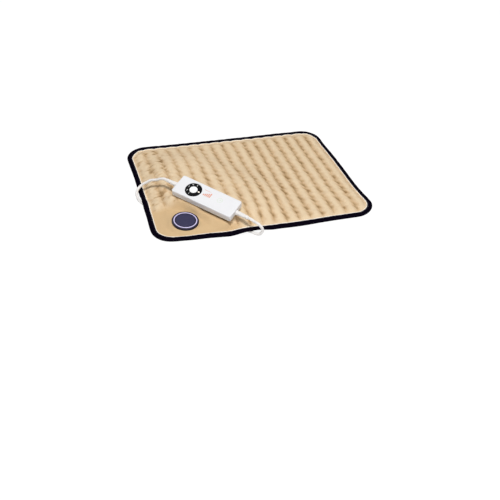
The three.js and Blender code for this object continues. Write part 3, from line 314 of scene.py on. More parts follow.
# Noise whose grains are that many millimetres across
def grain(tree, place, size, detail=3, roughness=0.5, stretch=(1, 1, 1), turn=0.0):
    mapping = addNode(tree, "Mapping", {
        "Vector": place, "Scale": [s / (size * mm) for s in stretch], "Rotation": (0, 0, math.radians(turn)),
    })
    return addNode(tree, "TexNoise", {
        "Vector": mapping.outputs["Vector"], "Scale": 1.0, "Detail": detail, "Roughness": roughness,
    }).outputs["Fac"]


def ramp(tree, value, *stops):
    node = addNode(tree, "ValToRGB", {"Fac": value})
    elements = node.color_ramp.elements
    while len(elements) < len(stops):
        elements.new(0.5)
    for element, (position, colour) in zip(elements, stops):
        element.position = position
        element.color = linear(colour) if isinstance(colour, str) else [colour] * 3 + [1]
    return node.outputs["Color"]


def mixed(tree, share, first, second, blend="MIX"):
    node = addNode(tree, "Mix", {"Factor": share}, data_type="RGBA", blend_type=blend)
    for socket, value in ((node.inputs[6], first), (node.inputs[7], second)):
        feed(tree, socket, linear(value) if isinstance(value, str) else value)
    return node.outputs[2]


def calc(tree, operation, first, second=0.0):
    return addNode(tree, "Math", {0: first, 1: second}, operation=operation).outputs[0]


def ranged(tree, value, low, high):
    return addNode(tree, "MapRange", {"Value": value, "To Min": low, "To Max": high}).outputs["Result"]


def bumps(tree, *layers):
    normal = None
    for height, depth in layers:
        inputs = {"Height": height, "Distance": depth * mm, "Strength": 1.0}
        if normal is not None:
            inputs["Normal"] = normal
        normal = addNode(tree, "Bump", inputs).outputs["Normal"]
    return normal


def finishMaterial(material, tree, inputs):
    shader = addNode(tree, "BsdfPrincipled", inputs)
    addNode(tree, "OutputMaterial", {"Surface": shader.outputs["BSDF"]})
    return material


# Injection-moulded plastic: spark-eroded grain, faint flow marks and handling gloss
def mouldedPlastic(name, colour, dark, roughness, texture, depth, gloss=0.5, **more):
    material, tree, place = startMaterial(name)
    flow = grain(tree, place, 18, 2)
    fine = grain(tree, place, texture, 2, 0.6)
    rough = ranged(tree, grain(tree, place, 7, 3), roughness - 0.07, roughness + 0.09)
    return finishMaterial(material, tree, {
        "Base Color": mixed(tree, calc(tree, "MULTIPLY", flow, 0.6), colour, dark),
        "Roughness": rough, "Specular IOR Level": gloss, "Normal": bumps(tree, (fine, depth)), **more,
    })


# Cut-pile plush: matted nap, a painted highlight on the rope crests and painted shade in the creases
def plushMaterial(name, highlightCrest, middle, creaseShade, bare):
    material, tree, place = startMaterial(name)
    # The crease attribute carries a share of painted shade
    depth = addNode(tree, "Attribute", attribute_name="creaseShade").outputs["Fac"]
    patch = addNode(tree, "Attribute", attribute_name="patch").outputs["Fac"]
    matted = grain(tree, place, 9, 4, 0.6)
    tuft = grain(tree, place, 1.9, 3, 0.65)
    fibre = grain(tree, place, 0.5, 2, 0.6, (1, 0.5, 1))
    tuftShare = calc(tree, "MULTIPLY", calc(tree, "SUBTRACT", tuft, 0.5), 0.55)
    # The ramp paints a highlight on the crests and shade in the creases
    shade = ramp(tree, calc(tree, "ADD", depth, tuftShare), (0.05, highlightCrest), (0.42, middle), (0.95, creaseShade))
    patchy = mixed(tree, calc(tree, "MULTIPLY", matted, 0.45), shade, "cda978", "MULTIPLY")
    mottle = mixed(tree, ramp(tree, matted, (0.4, 0.0), (0.72, 0.5)), shade, patchy)
    corner = mixed(tree, ramp(tree, tuft, (0.3, 0.0), (0.75, 0.6)), bare, "d2b184")
    return finishMaterial(material, tree, {
        "Base Color": mixed(tree, patch, mottle, corner),
        "Roughness": 0.95, "Sheen Weight": 0.1, "Sheen Roughness": 0.5, "Sheen Tint": linear("fff0dc"),
        "Specular IOR Level": 0.15,
        "Normal": bumps(tree, (tuft, 0.7), (fibre, 0.25)),
    })


# Woven tape or cloth: crossing yarns, slightly uneven dye
def wovenMaterial(name, colour, dark, yarn, turn, roughness, sheen, depth, sheenTint="ffffff", gloss=0.3):
    material, tree, place = startMaterial(name)
    turnedPlace = addNode(tree, "Mapping", {
        "Vector": place, "Rotation": (0, 0, math.radians(turn)),
    }).outputs["Vector"]
    wave = {
        "Vector": turnedPlace, "Scale": 1 / (yarn * mm) / 20 * 3.1416, "Distortion": 0.6, "Detail": 1.0,
        "Detail Scale": 2.0,
    }
    waves = [addNode(tree, "TexWave", wave, bands_direction=axis, wave_profile="SIN").outputs["Fac"]
             for axis in "XY"]
    weave = calc(tree, "MULTIPLY", *waves)
    uneven = grain(tree, place, 14, 4, 0.6)
    fluff = grain(tree, place, 0.7, 2)
    tone = mixed(tree, calc(tree, "MULTIPLY", weave, 0.5), colour, dark)
    return finishMaterial(material, tree, {
        "Base Color": mixed(tree, calc(tree, "MULTIPLY", uneven, 0.5), tone, dark),
        "Roughness": roughness, "Specular IOR Level": gloss,
        "Sheen Weight": sheen, "Sheen Roughness": 0.4, "Sheen Tint": linear(sheenTint),
        "Normal": bumps(tree, (weave, depth), (fluff, depth * 0.6)),
    })


# Drawn or stamped metal: fine lines along the drawing direction
def drawnMetal(name, colour, dark, roughness=0.3, stretch=(0.15, 1, 1)):
    material, tree, place = startMaterial(name)
    lines = grain(tree, place, 0.35, 3, 0.6, stretch)
    return finishMaterial(material, tree, {
        "Base Color": mixed(tree, lines, colour, dark), "Metallic": 1.0,
        "Roughness": ranged(tree, lines, roughness - 0.08, roughness + 0.14),
        "Normal": bumps(tree, (lines, 0.008)),
    })


plush = plushMaterial("cut_pile_plush", "e9d2b0", "d6b891", "9a7b52", "d8ba90")
backCloth = wovenMaterial("brushed_knit_backing", "cdb592", "b89d78", 0.9, 0, 0.95, 0.2, 0.1)
feltFleece = wovenMaterial("needled_fleece", "e6e1d6", "cfc8ba", 2.3, 31, 1.0, 0.15, 0.2)
tape = wovenMaterial("woven_nylon_tape", "0d0916", "050308", 0.6, 0, 0.95, 0.0, 0.12, "8f8fc0", 0.0)
pipingSatin = wovenMaterial("satin_piping", "fff8ec", "f6e8d4", 0.5, 45, 0.6, 0.2, 0.08)
seamThread = wovenMaterial("twisted_polyester_thread", "cdb08a", "ab8d64", 0.25, 30, 0.7, 0.1, 0.03)
tapeThread = wovenMaterial("black_polyester_thread", "35304a", "1a1626", 0.25, 30, 0.6, 0.1, 0.03)
whiteAbs = mouldedPlastic("moulded_white_abs", "ebebed", "e2e2e6", 0.34, 0.6, 0.012)
whiteKey = mouldedPlastic("moulded_white_key", "fbfbfb", "f0f0f2", 0.25, 0.6, 0.006)
whitePvc = mouldedPlastic("extruded_white_pvc", "efecea", "e2dedb", 0.42, 0.9, 0.02)
blackAbs = mouldedPlastic("polished_black_abs", "050507", "020203", 0.4, 0.5, 0.006, 0.08)
blackNylon = mouldedPlastic("black_nylon", "17171b", "0c0c0f", 0.5, 0.5, 0.02)
capAbs = mouldedPlastic("dark_violet_abs", "170e29", "0f081b", 0.42, 0.6, 0.012, 0.3)
slateSoft = mouldedPlastic("slate_soft_touch", "333250", "2b2a44", 0.7, 0.35, 0.03, 0.25)
lilacAbs = mouldedPlastic("lilac_translucent_ring", "dcd4fa", "cfc6f2", 0.25, 0.8, 0.006)
boardMask = mouldedPlastic("green_solder_mask", "2f6b45", "1f5334", 0.35, 2.5, 0.05)
componentEpoxy = mouldedPlastic("black_epoxy_component", "1d1d1f", "121214", 0.6, 0.4, 0.02)
filmCase = mouldedPlastic("yellow_film_capacitor_case", "d8b24a", "c79c34", 0.4, 0.8, 0.02)
lampLens = mouldedPlastic("lit_lamp_window", "fffaf0", "fff1d8", 0.2, 0.8, 0.004,
                          **{"Emission Color": linear("fff4e0"), "Emission Strength": 0.6})
clearGlass = mouldedPlastic("drawn_clear_glass", "e9f2f2", "dce8e8", 0.08, 3, 0.004,
                            **{"Transmission Weight": 0.9, "IOR": 1.5})
brass = drawnMetal("turned_brass", "d0a85c", "b98e42", 0.28)
nickel = drawnMetal("nickel_plated_pins", "c9c9c6", "aaaaa8", 0.24)
steel = drawnMetal("zinc_plated_steel", "a9acb0", "8b8e93", 0.34)
wireSleeve = mouldedPlastic("silicone_wire_sleeve", "b9b3a8", "a39c90", 0.55, 0.5, 0.02)
orangeInk = mouldedPlastic("orange_pad_print", "e0967a", "d88c70", 0.5, 0.4, 0.01)
greenInk = mouldedPlastic("pale_green_pad_print", "d0e2ca", "c4dabd", 0.5, 0.4, 0.01)
greyInk = mouldedPlastic("grey_pad_print", "a9aeb4", "989ea6", 0.5, 0.4, 0.01)
whiteInk = mouldedPlastic("white_key_print", "ffffff", "f2f2f2", 0.4, 0.4, 0.004)
print("materials made")


# The cords: routes as in the solids, in millimetres
leadRoute = [
    [-163, -11.9, 36.6], [-168.6, -7.1, 32.2], [-174, -4, 30.6], [-179, -0.6, 27.7],
    [-184.9, 1.9, 22.8], [-189.2, 3.3, 20.4], [-193.9, 3.5, 16.8], [-198.2, 2.3, 13.9],
    [-202.3, -1.3, 10.9], [-204.5, -6.8, 8.1], [-205, -13.1, 5.5], [-203.9, -19.6, 3.8],
    [-201.6, -26, 2.9], [-198.4, -31.9, 2.7], [-193.6, -37.4, 2.7], [-187, -43.2, 2.7],
    [-178.4, -49.4, 2.7], [-168, -56, 2.7], [-154, -62.4, 2.7], [-137, -67.4, 2.7],
    [-120, -69.6, 2.7], [-103, -70.2, 2.7], [-88, -72.6, 2.7], [-76.4, -78.6, 2.8],
    [-70.8, -87.6, 2.9], [-71.2, -97.4, 3.1], [-76.2, -104.4, 3.2],
]
mainsRoute = [
    [-34.1, -149.9, 24.5], [-31.1, -154.7, 24.4], [-26.2, -160.4, 22], [-22.3, -162.9, 16.1],
    [-22.2, -163.2, 10.3], [-25.1, -161.7, 5.4], [-30.1, -158.2, 2.9], [-36.6, -150.3, 3.1],
    [-41.2, -146.2, 2.7], [-44.2, -138.2, 2.7], [-46.4, -128.6, 2.7], [-47.2, -116.6, 2.7],
    [-45.4, -103.6, 2.7], [-41, -90, 2.7], [-35, -76.6, 2.8], [-29.2, -63, 3.1], [-25, -50, 3.5],
]
cordFacts = {
    "diameter": 5.0, "exitAlong": 83.3, "exitStraight": 4.5, "straight": 6.0, "exitHeight": 11.0,
    "leadEndAlong": 51.9, "leadEndHeight": -6.913, "loops": 7.25, "perLayer": 3.625, "inner": 20.0312,
    "turnPitch": 5.5, "centre": (-60.98, -30.10), "startAngle": -5.0, "base": 3.7, "stepsPerLoop": 48,
    "runOut": 18.0, "plugAxis": 7.15, "gap": 0.3, "spacing": 2,
}


# Centripetal Catmull-Rom through the points, as in the solids
def splineThrough(points, spacing):
    points = np.asarray(points, float)
    points = np.vstack([2 * points[0] - points[1], points, 2 * points[-1] - points[-2]])
    found = []
    for i in range(1, len(points) - 2):
        p = points[i - 1:i + 3]
        gaps = [np.linalg.norm(p[k + 1] - p[k]) ** 0.5 for k in range(3)]
        t = np.cumsum([0, *gaps])
        steps = max(2, int(np.ceil(np.linalg.norm(p[2] - p[1]) / spacing)))
        for s in np.linspace(t[1], t[2], steps, endpoint=False):
            a = [(t[k + 1] - s) / gaps[k] * p[k] + (s - t[k]) / gaps[k] * p[k + 1] for k in range(3)]
            b = [(t[k + 2] - s) / (t[k + 2] - t[k]) * a[k] + (s - t[k]) / (t[k + 2] - t[k]) * a[k + 1]
                 for k in range(2)]
            found.append((t[2] - s) / (t[2] - t[1]) * b[0] + (s - t[1]) / (t[2] - t[1]) * b[1])
    found.append(points[-2])
    return np.array(found)


def coilPoint(loop):
    facts = cordFacts
    past = loop - facts["perLayer"]
    radius = facts["inner"] + abs(past) * facts["turnPitch"]
    angle = math.radians(facts["startAngle"]) + loop * 2 * math.pi
    climb = min(1, max(0, past * 2 + 0.5))
    x, y = facts["centre"]
    return np.array([x + radius * math.cos(angle), y + radius * math.sin(angle),
                     facts["base"] + climb * facts["turnPitch"]])


def unit(vector):
    return vector / np.linalg.norm(vector)


def cordRoutes():
    facts, spacing = cordFacts, cordFacts["spacing"]
    out = lambda side: applied(handsetPlace, [
        (side * (facts["exitAlong"] + more), 0, facts["exitHeight"]) for more in (0, facts["exitStraight"])
    ])
    leadEnd = applied(connectorPlace, [
        (facts["leadEndAlong"] + more, 0, facts["leadEndHeight"]) for more in (facts["straight"], 0)
    ])
    lead = splineThrough(np.vstack([out(-1), leadRoute, leadEnd]), spacing)
    first, second = coilPoint(0), coilPoint(1 / 24)
    into = unit((second - first) * (1, 1, 0))
    coilStart = first - into * facts["diameter"]
    mainsEnd = coilStart - into * facts["gap"]
    last = [mainsEnd - into * facts["straight"], mainsEnd]
    free = splineThrough(np.vstack([out(1), mainsRoute, last]), spacing)
    count = int(facts["loops"] * facts["stepsPerLoop"])
    turns = np.array([coilPoint(i / facts["stepsPerLoop"]) for i in range(count + 1)])
    away = unit((turns[-1] - coilPoint(facts["loops"] - 1 / 24)) * (1, 1, 0))
    ends = []
    for i, share in enumerate((0.25, 0.5, 0.72, 1)):
        place = turns[-1] + away * share * facts["runOut"]
        place[2] += (facts["plugAxis"] - turns[-1][2]) * min(1, (i + 1) / 3)
        ends.append(place)
    tail = splineThrough(np.vstack([turns[-1], ends]), spacing)
    return lead, np.vstack([free[:-1], coilStart - into * 0.1, turns[:-1], tail]), ends[-1], away


def addCord(name, route, material, replaced):
    data = bpy.data.curves.new(name, "CURVE")
    data.dimensions = "3D"
    data.bevel_depth = cordFacts["diameter"] / 2 * mm
    data.bevel_resolution = 5
    data.use_fill_caps = True
    line = data.splines.new("POLY")
    line.points.add(len(route) - 1)
    line.points.foreach_set("co", np.column_stack([route * mm, np.ones(len(route))]).ravel())
    line.use_smooth = True
    return placed(name, data, material, root, replaced)


def lengthOf(route):
    return float(np.linalg.norm(np.diff(route, axis=0), axis=1).sum()) * mm


leadLine, mainsLine, plugPlace, plugDirection = cordRoutes()
leadCord = addCord("lead_cord_sleeve", leadLine, whitePvc, ["lead_cord"])
mainsCord = addCord("mains_cord_sleeve", mainsLine, whitePvc, ["mains_cord", "mains_coil"])
print("cords laid:", *(round(lengthOf(line), 4) for line in (leadLine, mainsLine)), "m of lead and of mains cord")


# The pad's height field, as in the solids
padFacts = {
    "width": 400, "depth": 300, "corner": 38, "edgeBand": 12, "turnDown": 26, "fullLift": 42,
    "highLift": 15.0, "lowLift": 6.3, "overCord": 5.7, "seams": 18, "firstSeam": -188, "pitch": 22.1176,
    "patchSeam": -64, "patchTurn": -128, "patchSlope": 43.7, "patchBlend": 12,
    "backing": 0.7, "edge": 1.05, "seam": 1.6, "puff": 3.8, "patchThickness": 2.6, "gap": 0.3,
    "wireRoom": 2.6, "lipGap": 1.1, "connectorFree": 17, "lowRun": 50, "cordPlateau": 3.2, "cordRun": 8.5,
    "cordSpread": 23.5, "squeeze": 0.52,
}
domeLine = ((-110.40, 23.70), (-40.70, -58.80))
leadGround = ((-178, -60), (-84, -92))
mainsGround = ((-47, -124), (-24, -44))
connectorGround = ((connectorX, connectorY), (-84, connectorY))
crossings = [[place[:2] for place in leadRoute[11:21]], [place[:2] for place in mainsRoute[6:13]]]


def segmentDistance(x, y, line):
    (fromX, fromY), (toX, toY) = line
    runX, runY = toX - fromX, toY - fromY
    t = np.clip(((x - fromX) * runX + (y - fromY) * runY) / (runX * runX + runY * runY), 0, 1)
    return np.hypot(x - fromX - t * runX, y - fromY - t * runY)


def insetAt(x, y):
    beyondX = np.abs(x) - padFacts["width"] / 2 + padFacts["corner"]
    beyondY = np.abs(y) - padFacts["depth"] / 2 + padFacts["corner"]
    rounded = padFacts["corner"] - np.hypot(beyondX, beyondY)
    return np.where((beyondX > 0) & (beyondY > 0), rounded, padFacts["corner"] - np.maximum(beyondX, beyondY))


def fade(distance, plateau, run):
    return 1 - smooth((distance - plateau) / run)


def fromConnector(x, y):
    return np.hypot(x - connectorX, y - connectorY)


# 1 in the outer band of the pad and 0 farther in
def edgeShare(x, y):
    return fade(insetAt(x, y), 12, 14)


# How the soft outline strays outwards: side, place along it, half width and how far
outlineStrays = (
    ("front", -168, 30, -4.4), ("front", -115, 25, -1.2), ("front", -54, 40, 3.6), ("front", 52, 40, 2.2),
    ("right", -118, 36, 5.2), ("right", 100, 45, -3.0), ("back", 120, 45, 1.0), ("back", -150, 30, 1.4),
    ("left", 50, 45, -1.2), ("left", -105, 25, 1.2),
)
sideFacts = {"front": (1, -1, 150), "right": (0, 1, 200), "back": (1, 1, 150), "left": (0, -1, 200)}


def relaxed(points):
    points = np.array(points, float)
    found = points.copy()
    hold = smooth((fromConnector(points[:, 0], points[:, 1]) - 19) / 22)
    for side, place, width, stray in outlineStrays:
        axis, sign, half = sideFacts[side]
        weight = np.clip(sign * points[:, axis] / half, 0, 1) ** 4 * hold
        found[:, axis] += sign * stray * weight * np.exp(-((points[:, 1 - axis] - place) / width) ** 2)
    return found


# How far the edge rides over the cords: steeply at the lead, and in a long slope at the mains cord
def crossingAt(x, y):
    narrow = padFacts["cordRun"]
    wide = narrow + padFacts["cordSpread"] * edgeShare(x, y)
    return np.maximum.reduce([
        fade(segmentDistance(x, y, pair), padFacts["cordPlateau"], run)
        for line, run in zip(crossings, (narrow, wide)) for pair in zip(line, line[1:])
    ])


def liftAt(x, y):
    band = padFacts["edgeBand"]
    clearOfEdge = smooth((insetAt(x, y) - band) / (padFacts["fullLift"] - band))
    fromDome = segmentDistance(x, y, domeLine)
    low = np.maximum.reduce([fade(segmentDistance(x, y, line), plateau, padFacts["lowRun"])
                             for line, plateau in ((domeLine, 60), (leadGround, 22), (mainsGround, 10))])
    rest = fade(segmentDistance(x, y, connectorGround), padFacts["connectorFree"], padFacts["connectorFree"])
    high = fade(fromDome, 28, 60) * (padFacts["highLift"] - padFacts["lowLift"])
    return np.maximum.reduce([
        clearOfEdge * (low * padFacts["lowLift"] + high), crossingAt(x, y) * padFacts["overCord"],
        rest * padFacts["lowLift"],
    ])


# The edge is squeezed thinner where it rides over a cord
def squeezed(x, y, height):
    lift = liftAt(x, y)
    return lift + (height - lift) * (1 - padFacts["squeeze"] * crossingAt(x, y) * edgeShare(x, y))


def patchAt(x, y):
    slope = math.radians(padFacts["patchSlope"])
    behind = y - padFacts["patchSeam"]
    beyond = (x - padFacts["patchTurn"]) * math.sin(slope) + behind * math.cos(slope)
    return 1 - smooth(np.maximum(behind, beyond) / padFacts["patchBlend"] + 0.5)


# How much wider the tape's upper flap is towards the back edge
def flapGrowth(y):
    return 2.1 * smooth((y - 112) / 14)


def insideAt(x, y):
    band = padFacts["turnDown"] - padFacts["edgeBand"]
    return np.clip((insetAt(x, y) - padFacts["edgeBand"]) / band, 0, 1)


def quiltedShare(x, y):
    return insideAt(x, y) * (1 - patchAt(x, y))


def backLow(x, y):
    return liftAt(x, y) + (1 - insideAt(x, y)) * padFacts["lipGap"]


def backHigh(x, y):
    return backLow(x, y) + padFacts["backing"]


def coverLow(x, y):
    return backHigh(x, y) + padFacts["gap"] + padFacts["wireRoom"] * quiltedShare(x, y)


# Quilting: each channel is a rope, pinched at its seams in irregular rows
puckerFacts = {
    "seed": 500, "rows": 24, "start": 18, "spacing": (12, 24), "depth": (0.35, 1.0), "slope": (0.8, 1.7),
    "alongSeam": 3.8, "acrossSeam": 6.2, "reach": 0.6, "waver": 1.5, "flattening": 0.72,
}


def puckerRows(seam):
    facts = puckerFacts
    random = np.random.default_rng(facts["seed"] + seam)
    first = random.uniform(0, facts["start"]) - padFacts["depth"] / 2
    places = first + np.cumsum(random.uniform(*facts["spacing"], facts["rows"]))
    return places, random.uniform(*facts["depth"], facts["rows"]), random.uniform(*facts["slope"])


def quilting(x, y):
    facts, pitch = puckerFacts, padFacts["pitch"]
    across = np.abs(np.sin(math.pi * (x - padFacts["firstSeam"]) / pitch)) ** 0.55
    pinch = np.zeros_like(x)
    for seam in range(padFacts["seams"]):
        offset = x - (padFacts["firstSeam"] + seam * pitch)
        near = np.abs(offset) < pitch * facts["reach"]
        places, depths, slope = puckerRows(seam)
        line = y[near] + slope * offset[near] - facts["waver"] * latticeNoise(x[near], y[near], 30, 30, 7)
        k = np.clip(np.searchsorted(places, line), 1, len(places) - 1)
        k = np.where(np.abs(line - places[k - 1]) < np.abs(line - places[k]), k - 1, k)
        depth = (depths[k] * np.exp(-((line - places[k]) / facts["alongSeam"]) ** 2)
                 * np.exp(-(offset[near] / facts["acrossSeam"]) ** 2))
        pinch[near] = np.maximum(pinch[near], depth)
    # A slanting band across the pad where the puckers are deeper
    band = np.exp(-((y + 27 + 0.29 * x) / 24) ** 2)
    pinch = np.clip(pinch * (0.8 + 0.35 * band), 0, 1)
    # The ropes are flatter towards the left end
    calm = 0.72 + 0.28 * smooth((x + 130) / 150)
    puff = 1 - (1 - across * (1 - facts["flattening"] * pinch)) * calm
    return puff, pinch, band


# Fine noise and how much of it shows: only near the left end
def leftFolds(x, y):
    return latticeNoise(x, y, 7, 4.5, 28), 1 - smooth((x + 150) / 30)


def coverThickness(x, y):
    puff, pinch, band = quilting(x, y)
    patch = patchAt(x, y)
    folds, left = leftFolds(x, y)
    wrinkle = (latticeNoise(x, y, 13, 4.2, 21) * (0.25 + 0.4 * band) + latticeNoise(x, y, 5, 5, 22) * 0.25
               + latticeNoise(x, y, 34, 26, 23) * 0.3
               + latticeNoise(x * 0.93 + y * 0.36, y * 0.93 - x * 0.36, 6, 12, 26) * 0.36 + folds * 0.5 * left)
    quilted = padFacts["seam"] + padFacts["puff"] * (0.1 + 0.95 * puff) + wrinkle
    plain = (padFacts["patchThickness"] + latticeNoise(x, y, 17, 12, 24) * 0.22
             + latticeNoise(x, y, 5, 4, 25) * 0.08)
    inner = quilted + (plain - quilted) * patch
    # The cover rises from its thin sewn edge: first a short step at the piping and then a long slope
    run = 10 + 10 * smooth((y - 110) / 25)
    start = insetAt(x, y) - flapGrowth(y)
    rise = smooth((start - 9.2) / run) * 0.84 + 0.16 * smooth((start - 8.4) / 1.6)
    # Shares of painted shade: in the valleys between the ropes, heavier towards the right, in the puckers and in the
    # folds at the left
    dashes = smooth(latticeNoise(x, y, 9, 5.5, 27) * 0.9 + 0.5)
    side = smooth((x + 40) / 120)
    valley = np.abs(np.cos(math.pi * (x - padFacts["firstSeam"]) / padFacts["pitch"])) ** 1.7
    creaseShade = ((1 - puff) * (0.3 + 0.25 * dashes) + 0.5 * pinch * (1 - puff) ** 0.5
              + valley * (0.1 + 0.08 * side + 0.1 * dashes))
    creaseShade = np.clip(creaseShade + smooth(-folds * 1.4 - 0.25) * left * 0.55, 0, 1) * rise
    return padFacts["edge"] + (inner - padFacts["edge"]) * rise, creaseShade, patch


def capPlane(y):
    return connectorZ + (y - connectorY) * math.tan(math.radians(connectorTilt))


# The cover swells against the lower long side of the controller and leaves a narrow slot at its right part
swellFacts = {
    "x": -95.8, "y": -78.7, "cos": 0.6807, "sin": 0.7325, "edgeHeight": 23.5, "fall": 0.075, "margin": 1.2,
    "slot": 2.9,
}


def swellAt(x, y, plain):
    facts = swellFacts
    fromX, fromY = x - facts["x"], y - facts["y"]
    along = fromX * facts["cos"] - fromY * facts["sin"]
    across = fromX * facts["sin"] + fromY * facts["cos"]
    margin = facts["margin"] + facts["slot"] * smooth((along + 10) / 16)
    level = facts["edgeHeight"] - facts["fall"] * along - margin
    outward = 1 - smooth((-across - 20.5) / (11 + 8 * smooth((np.abs(along + 9) - 18) / 22)))
    window = smooth((along + 76) / 22) * (1 - smooth((along - 52) / 22)) * smooth((insetAt(x, y) - 11) / 12)
    return np.maximum(0, level - plain) * outward * window * (1 - smooth((across + 18.5) / 5))


def coverHigh(x, y):
    thick, creaseShade, patch = coverThickness(x, y)
    plain = coverLow(x, y) + thick
    plain = plain + swellAt(x, y, plain)
    # Round the connector the cover lies just under its rim
    fromCap, under = fromConnector(x, y), capPlane(y) - padFacts["gap"]
    plain = plain + np.maximum(0, under - plain) * fade(fromCap, 23, 10)
    return np.minimum(plain, under + 12 * smooth((fromCap - 25) / 6)), creaseShade, patch


# Layers are pressed clear of the CAD pieces that lie straight above or below them
def treeOf(names):
    points, faces, base = [], [], 0
    for name in names:
        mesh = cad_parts[name].data
        points += [v.co.copy() for v in mesh.vertices]
        faces += [[base + i for i in p.vertices] for p in mesh.polygons]
        base = len(points)
    return BVHTree.FromPolygons(points, faces)


def pressed(x, y, start, surface, tree, direction, gap):
    result = surface.copy()
    for i in range(len(x)):
        hit = tree.ray_cast(Vector((x[i], y[i], start[i])) * mm, Vector((0, 0, direction)), 0.04)[0]
        if hit is not None:
            height = hit.z / mm - direction * gap
            result[i] = min(surface[i], height) if direction > 0 else max(surface[i], height)
    return result


# Moves the chosen places straight out or in to a circle
def ontoCircle(x, y, centreX, centreY, radius, chosen):
    away = np.hypot(x - centreX, y - centreY) + 1e-12
    return (np.where(chosen, centreX + (x - centreX) / away * radius, x),
            np.where(chosen, centreY + (y - centreY) / away * radius, y), chosen)


# A closed layer inside the pad's outline, with one grid for both of its faces. hole is the connector's radius
def layerMesh(name, inset, pitch, heights, material, hole=None, cut=None, replaced=()):
    halfX, halfY = padFacts["width"] / 2 - inset, padFacts["depth"] / 2 - inset
    nx, ny = round(2 * halfX / pitch), round(2 * halfY / pitch)
    xs, ys = np.linspace(-halfX, halfX, nx + 1), np.linspace(-halfY, halfY, ny + 1)
    gridX, gridY = (a.ravel() for a in np.meshgrid(xs, ys))
    outside = insetAt(gridX, gridY) < inset - 1e-6
    corner = padFacts["corner"]
    centreX = np.sign(gridX) * (padFacts["width"] / 2 - corner)
    centreY = np.sign(gridY) * (padFacts["depth"] / 2 - corner)
    x, y, _ = ontoCircle(gridX, gridY, centreX, centreY, corner - inset, outside)
    gone = outside
    if hole:
        fromHole = np.hypot(x - connectorX, y - connectorY) + 1e-12
        x, y, inHole = ontoCircle(x, y, connectorX, connectorY, hole, fromHole < hole)
        gone = gone | inHole
    if cut is not None:
        gone = gone | cut(x, y)
    corners = [j * (nx + 1) + i for j in range(ny) for i in range(nx)]
    cells = [(k, k + 1, k + nx + 2, k + nx + 1) for k in corners]
    cells = [cell for cell in cells if not all(gone[k] for k in cell)]
    used = np.unique(np.array(cells))
    number = np.full(len(x), -1)
    number[used] = np.arange(len(used))
    x, y = x[used], y[used]
    low, high, marks = heights(x, y)
    count = len(used)
    faces, edges = [], {}
    for cell in cells:
        ids = [int(number[k]) for k in cell]
        faces += [tuple(count + k for k in ids), tuple(reversed(ids))]
        edges.update({pair: True for pair in zip(ids, ids[1:] + ids[:1])})
    faces += [(a, b, count + b, count + a) for a, b in edges if (b, a) not in edges]
    points = np.vstack([np.column_stack([x, y, low]), np.column_stack([x, y, high])])
    mesh = newMesh(name, relaxed(points), faces)
    for label, values in marks.items():
        attribute = mesh.attributes.new(label, "FLOAT", "POINT")
        attribute.data.foreach_set("value", np.concatenate([values, values]).astype(np.float32))
    for polygon in mesh.polygons:
        polygon.use_smooth = True
    return placed(name, mesh, material, root, replaced)


above = treeOf(["handset_lower_shell", "lead_relief", "mains_relief", "lead_cord", "mains_cord"])
below = treeOf(["lead_cord", "mains_cord", "mains_coil", "coil_tie", "plug_body", "plug_relief", "plug_pin_1",
                "plug_pin_2", "lead_plug", "lead_plug_relief"])
barrelHole = 17.3


def coverHeights(x, y):
    low = squeezed(x, y, coverLow(x, y) + 0.35 * quiltedShare(x, y))
    low = np.maximum(low, backHeights(x, y)[1] + 0.15)
    high, creaseShade, patch = coverHigh(x, y)
    high = squeezed(x, y, high)
    # The crease mark is a share of painted shade for the plush colour
    return low, pressed(x, y, low, high, above, 1, 0.3), {"creaseShade": creaseShade, "patch": patch}


def backHeights(x, y):
    low = squeezed(x, y, backLow(x, y))
    low = pressed(x, y, low + 3, low, below, -1, 0.3)
    return low, np.maximum(low + 0.4, squeezed(x, y, backHigh(x, y))), {}


def feltHeights(x, y):
    low = backHigh(x, y) + 0.25
    return low, low + 0.5, {}


cover = layerMesh("quilted_plush_cover", 1.7, 1.7, coverHeights, plush, barrelHole,
                  replaced=["pad_top_cover"])
backing = layerMesh("knit_back_cloth", 1.4, 4, backHeights, backCloth, barrelHole,
                    replaced=["pad_back_cloth"])
carrier = layerMesh("wire_carrier_fleece", 30, 6, feltHeights, feltFleece,
                    cut=lambda x, y: patchAt(x, y - 24) > 0.5,
                    replaced=["wire_carrier_felt"])
print("pad layers made:", len(cover.data.polygons), "faces in the cover")


# The outline of the pad at an inset, with the outward direction at each point
def outlineAt(inset, spacing):
    corner = padFacts["corner"]
    halfX, halfY = padFacts["width"] / 2 - corner, padFacts["depth"] / 2 - corner
    points = []
    for quarter, (sideX, sideY) in enumerate(quarters):
        centre = np.array([sideX * halfX, sideY * halfY])
        steps = round(corner * math.pi / 2 / spacing)
        for angle in np.radians(np.linspace(quarter * 90, quarter * 90 + 90, steps + 1)):
            out = np.array([math.cos(angle), math.sin(angle)])
            points.append((centre + out * (corner - inset), out))
        run = 2 * (halfX if quarter % 2 == 0 else halfY)
        start, out = points[-1]
        ahead = np.array([-out[1], out[0]])
        for k in range(1, round(run / spacing)):
            points.append((start + ahead * run * k / round(run / spacing), out))
    return points


bindingFacts = {"spacing": 1.5, "profile": [
    (8.95, 4.15), (8.75, 4.6), (8.1, 4.74), (7.3, 4.5), (6.4, 4.8), (4.6, 4.95), (2.8, 4.85), (1.5, 4.45),
    (0.6, 3.75), (0.12, 2.9), (0.02, 2.2), (0.15, 1.4), (0.7, 0.6), (1.7, 0.15), (3.2, 0.0), (6, 0.0),
    (8.5, 0.0), (8.95, 0.3), (8.9, 0.7), (8.5, 0.8), (1.4, 0.82), (0.95, 1.4), (0.8, 2.2), (0.9, 3.0),
    (1.3, 3.6), (2.6, 3.8), (8.4, 3.82), (8.85, 3.9),
]}


